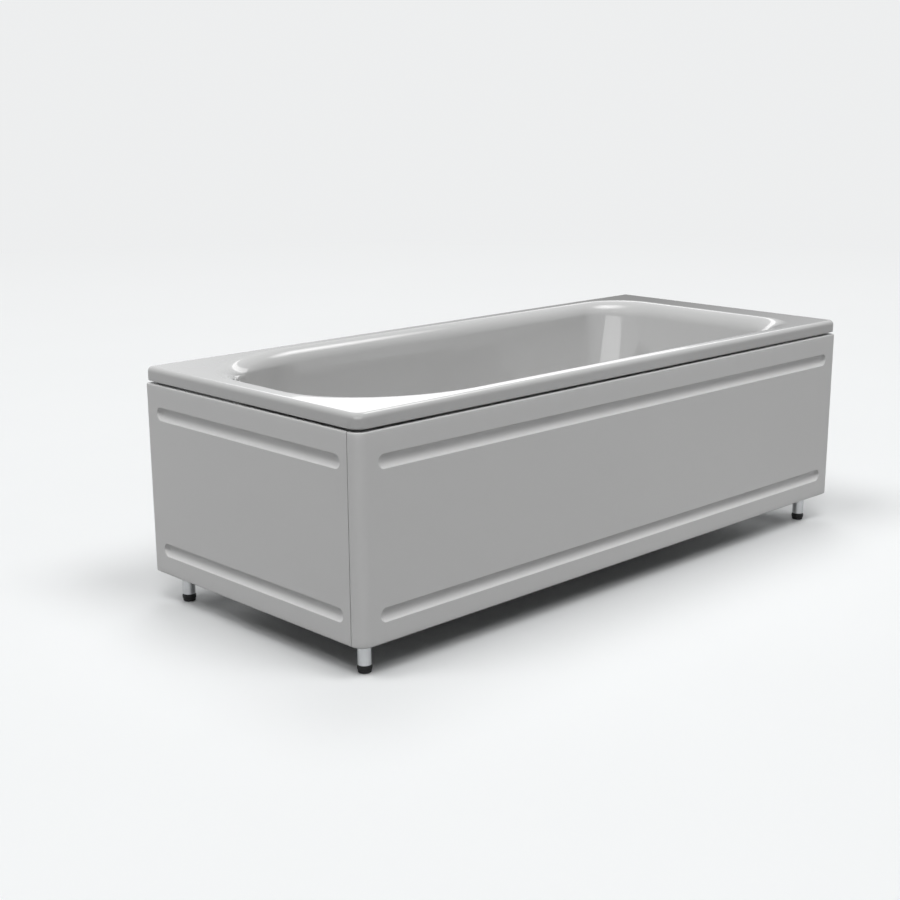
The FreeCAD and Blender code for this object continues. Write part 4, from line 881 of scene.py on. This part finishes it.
def makeStage():
    # near the tub a lit floor with its shadow, far off the backdrop's own colour
    size = stage["floorReach"]
    material, tree, shader, place = newMaterial("paleFloor")
    low = tuple(c * stage["cloudTone"] for c in stage["floorColour"])
    clouds = spread(tree, noise(tree, place, stage["clouds"], detail=3.0), 0, 1)
    pale = blend(tree, clouds, low, stage["floorColour"])
    bounce = (stage["floorBounce"],) * 3
    tree.links.new(blend(tree, seenDirectly(tree), bounce, pale), shader.inputs["Base Color"])
    shader.inputs["Roughness"].default_value = stage["roughness"]
    shader.inputs["Specular IOR Level"].default_value = 0.0
    far = spread(tree, awayFrom(tree, place, (0, 0, 0)), 0, 1, *stage["fade"])
    glowing(tree, blend(tree, seenDirectly(tree), bounce, stage["backdrop"]), far, shader)
    corners = [(-size, -size, 0), (size, -size, 0), (size, size, 0), (-size, size, 0)]
    flatSheet("floor", corners, material)
    world = bpy.data.worlds.new("studio")
    bpy.context.scene.world = world
    world.use_nodes = True
    tree = world.node_tree
    dim = (stage["skyLight"],) * 3
    tree.links.new(blend(tree, seenDirectly(tree), dim, stage["backdrop"]),
                   tree.nodes["Background"].inputs["Color"])


def upright(x0, y0, x1, y1, bottom, top):
    return [(x0, y0, bottom), (x1, y1, bottom), (x1, y1, top), (x0, y0, top)]


def addCard(name, corners, glow):
    # a card that only reflections see; glow(tree, place) gives its light
    material, tree, _, place = newMaterial(name)
    light = tree.nodes.new("ShaderNodeEmission")
    tree.links.new(glow(tree, place), light.inputs["Color"])
    tree.links.new(light.outputs["Emission"], tree.nodes["Material Output"].inputs["Surface"])
    card = flatSheet(name, corners, material)
    card.visible_camera = False
    card.visible_diffuse = False
    card.visible_shadow = False


def makeCards():
    # low cards behind the tub and past its head end keep the far rim grey: darkest at their shared
    # corner, as pale as the backdrop along their tops and ends.
    # the far card stands higher and makes the near rim gleam, the roof card gleams in the back roll
    backY, sideX, top = cards["backY"], cards["sideX"], cards["top"]
    start, end = cards["farOff"] - cards["farHalf"], cards["farOff"] + cards["farHalf"]

    def grey(tree, place):
        dark = awayFrom(tree, place, (sideX, backY, cards["darkZ"]))
        low = blend(tree, spread(tree, dark, 0, 1, *cards["darkReach"]), (cards["grey"],) * 3,
                    stage["backdrop"])
        rise = spread(tree, heightOf(tree, place), 0, 1, cards["paleZ"], top)
        return blend(tree, rise, low, stage["backdrop"])

    def far(tree, place):
        rise = spread(tree, heightOf(tree, place), 0, 1, *cards["farRise"])
        return blend(tree, rise, stage["backdrop"], (cards["farLight"],) * 3)

    def roof(tree, place):
        away = awayFrom(tree, place, cards["roof"])
        core = spread(tree, away, 1, 0, cards["roofCore"], cards["roofHalf"])
        return blend(tree, core, stage["backdrop"], (cards["roofLight"],) * 3)
    addCard("backCard", upright(cards["backFrom"], backY, sideX, backY, 0.0, top), grey)
    addCard("sideCard", upright(sideX, backY, sideX, cards["sideTo"], 0.0, top), grey)
    addCard("farCard", upright(start, end, end, start, *cards["farZ"]), far)
    x, y, z = cards["roof"]
    half = cards["roofHalf"]
    corners = [(x - half, y - half, z), (x - half, y + half, z), (x + half, y + half, z),
               (x + half, y - half, z)]
    addCard("roofCard", corners, roof)


def addLamp(name, kind, power, place, turn):
    data = bpy.data.lights.new(name, kind)
    data.energy = power
    lamp = bpy.data.objects.new(name, data)
    bpy.context.scene.collection.objects.link(lamp)
    lamp.location, lamp.rotation_euler = place, turn
    return lamp


def addSun(name, azimuth, elevation, power, angle):
    # a wide sun that reflections don't see
    turn = (math.radians(90 - elevation), 0, math.radians(azimuth + 90))
    sun = addLamp(name, "SUN", power, (0, 0, 0), turn)
    sun.data.angle = math.radians(angle)
    sun.visible_glossy = False


def addSoftbox(name, place, target, width, height, power):
    # a broad lamp that only reflections see
    way = Vector(target) - Vector(place)
    box = addLamp(name, "AREA", power, place, way.to_track_quat("-Z", "Y").to_euler())
    box.data.shape = "RECTANGLE"
    box.data.size, box.data.size_y = width, height
    box.visible_camera = False
    box.visible_diffuse = False


view = {"place": (-2.6769, -2.5276, 1.1786), "azimuth": -45.022, "elevation": 14.832,
        "sensor": 36.0, "lens": 59.796, "shift": (-0.03226, 0.03247), "clip": (0.05, 100.0)}


def makeCamera():
    data = bpy.data.cameras.new("view")
    data.sensor_width = view["sensor"]
    data.lens = view["lens"]
    data.shift_x, data.shift_y = view["shift"]
    data.clip_start, data.clip_end = view["clip"]
    camera = bpy.data.objects.new("view", data)
    bpy.context.scene.collection.objects.link(camera)
    camera.location = view["place"]
    a, e = math.radians(view["azimuth"]), math.radians(view["elevation"])
    back = Vector((math.sin(a) * math.cos(e), -math.cos(a) * math.cos(e), math.sin(e)))
    camera.rotation_mode = "QUATERNION"
    camera.rotation_quaternion = (-back).to_track_quat("-Z", "Y")
    bpy.context.scene.camera = camera


makeStage()
makeCards()
for sunName in ("leftSun", "rightSun", "highSun", "backSun"):
    addSun(sunName, *stage[sunName])
addSoftbox("openBox", *stage["openBox"])
makeCamera()
bpy.context.scene.view_settings.view_transform = "Standard"
print("stage, light and camera set")
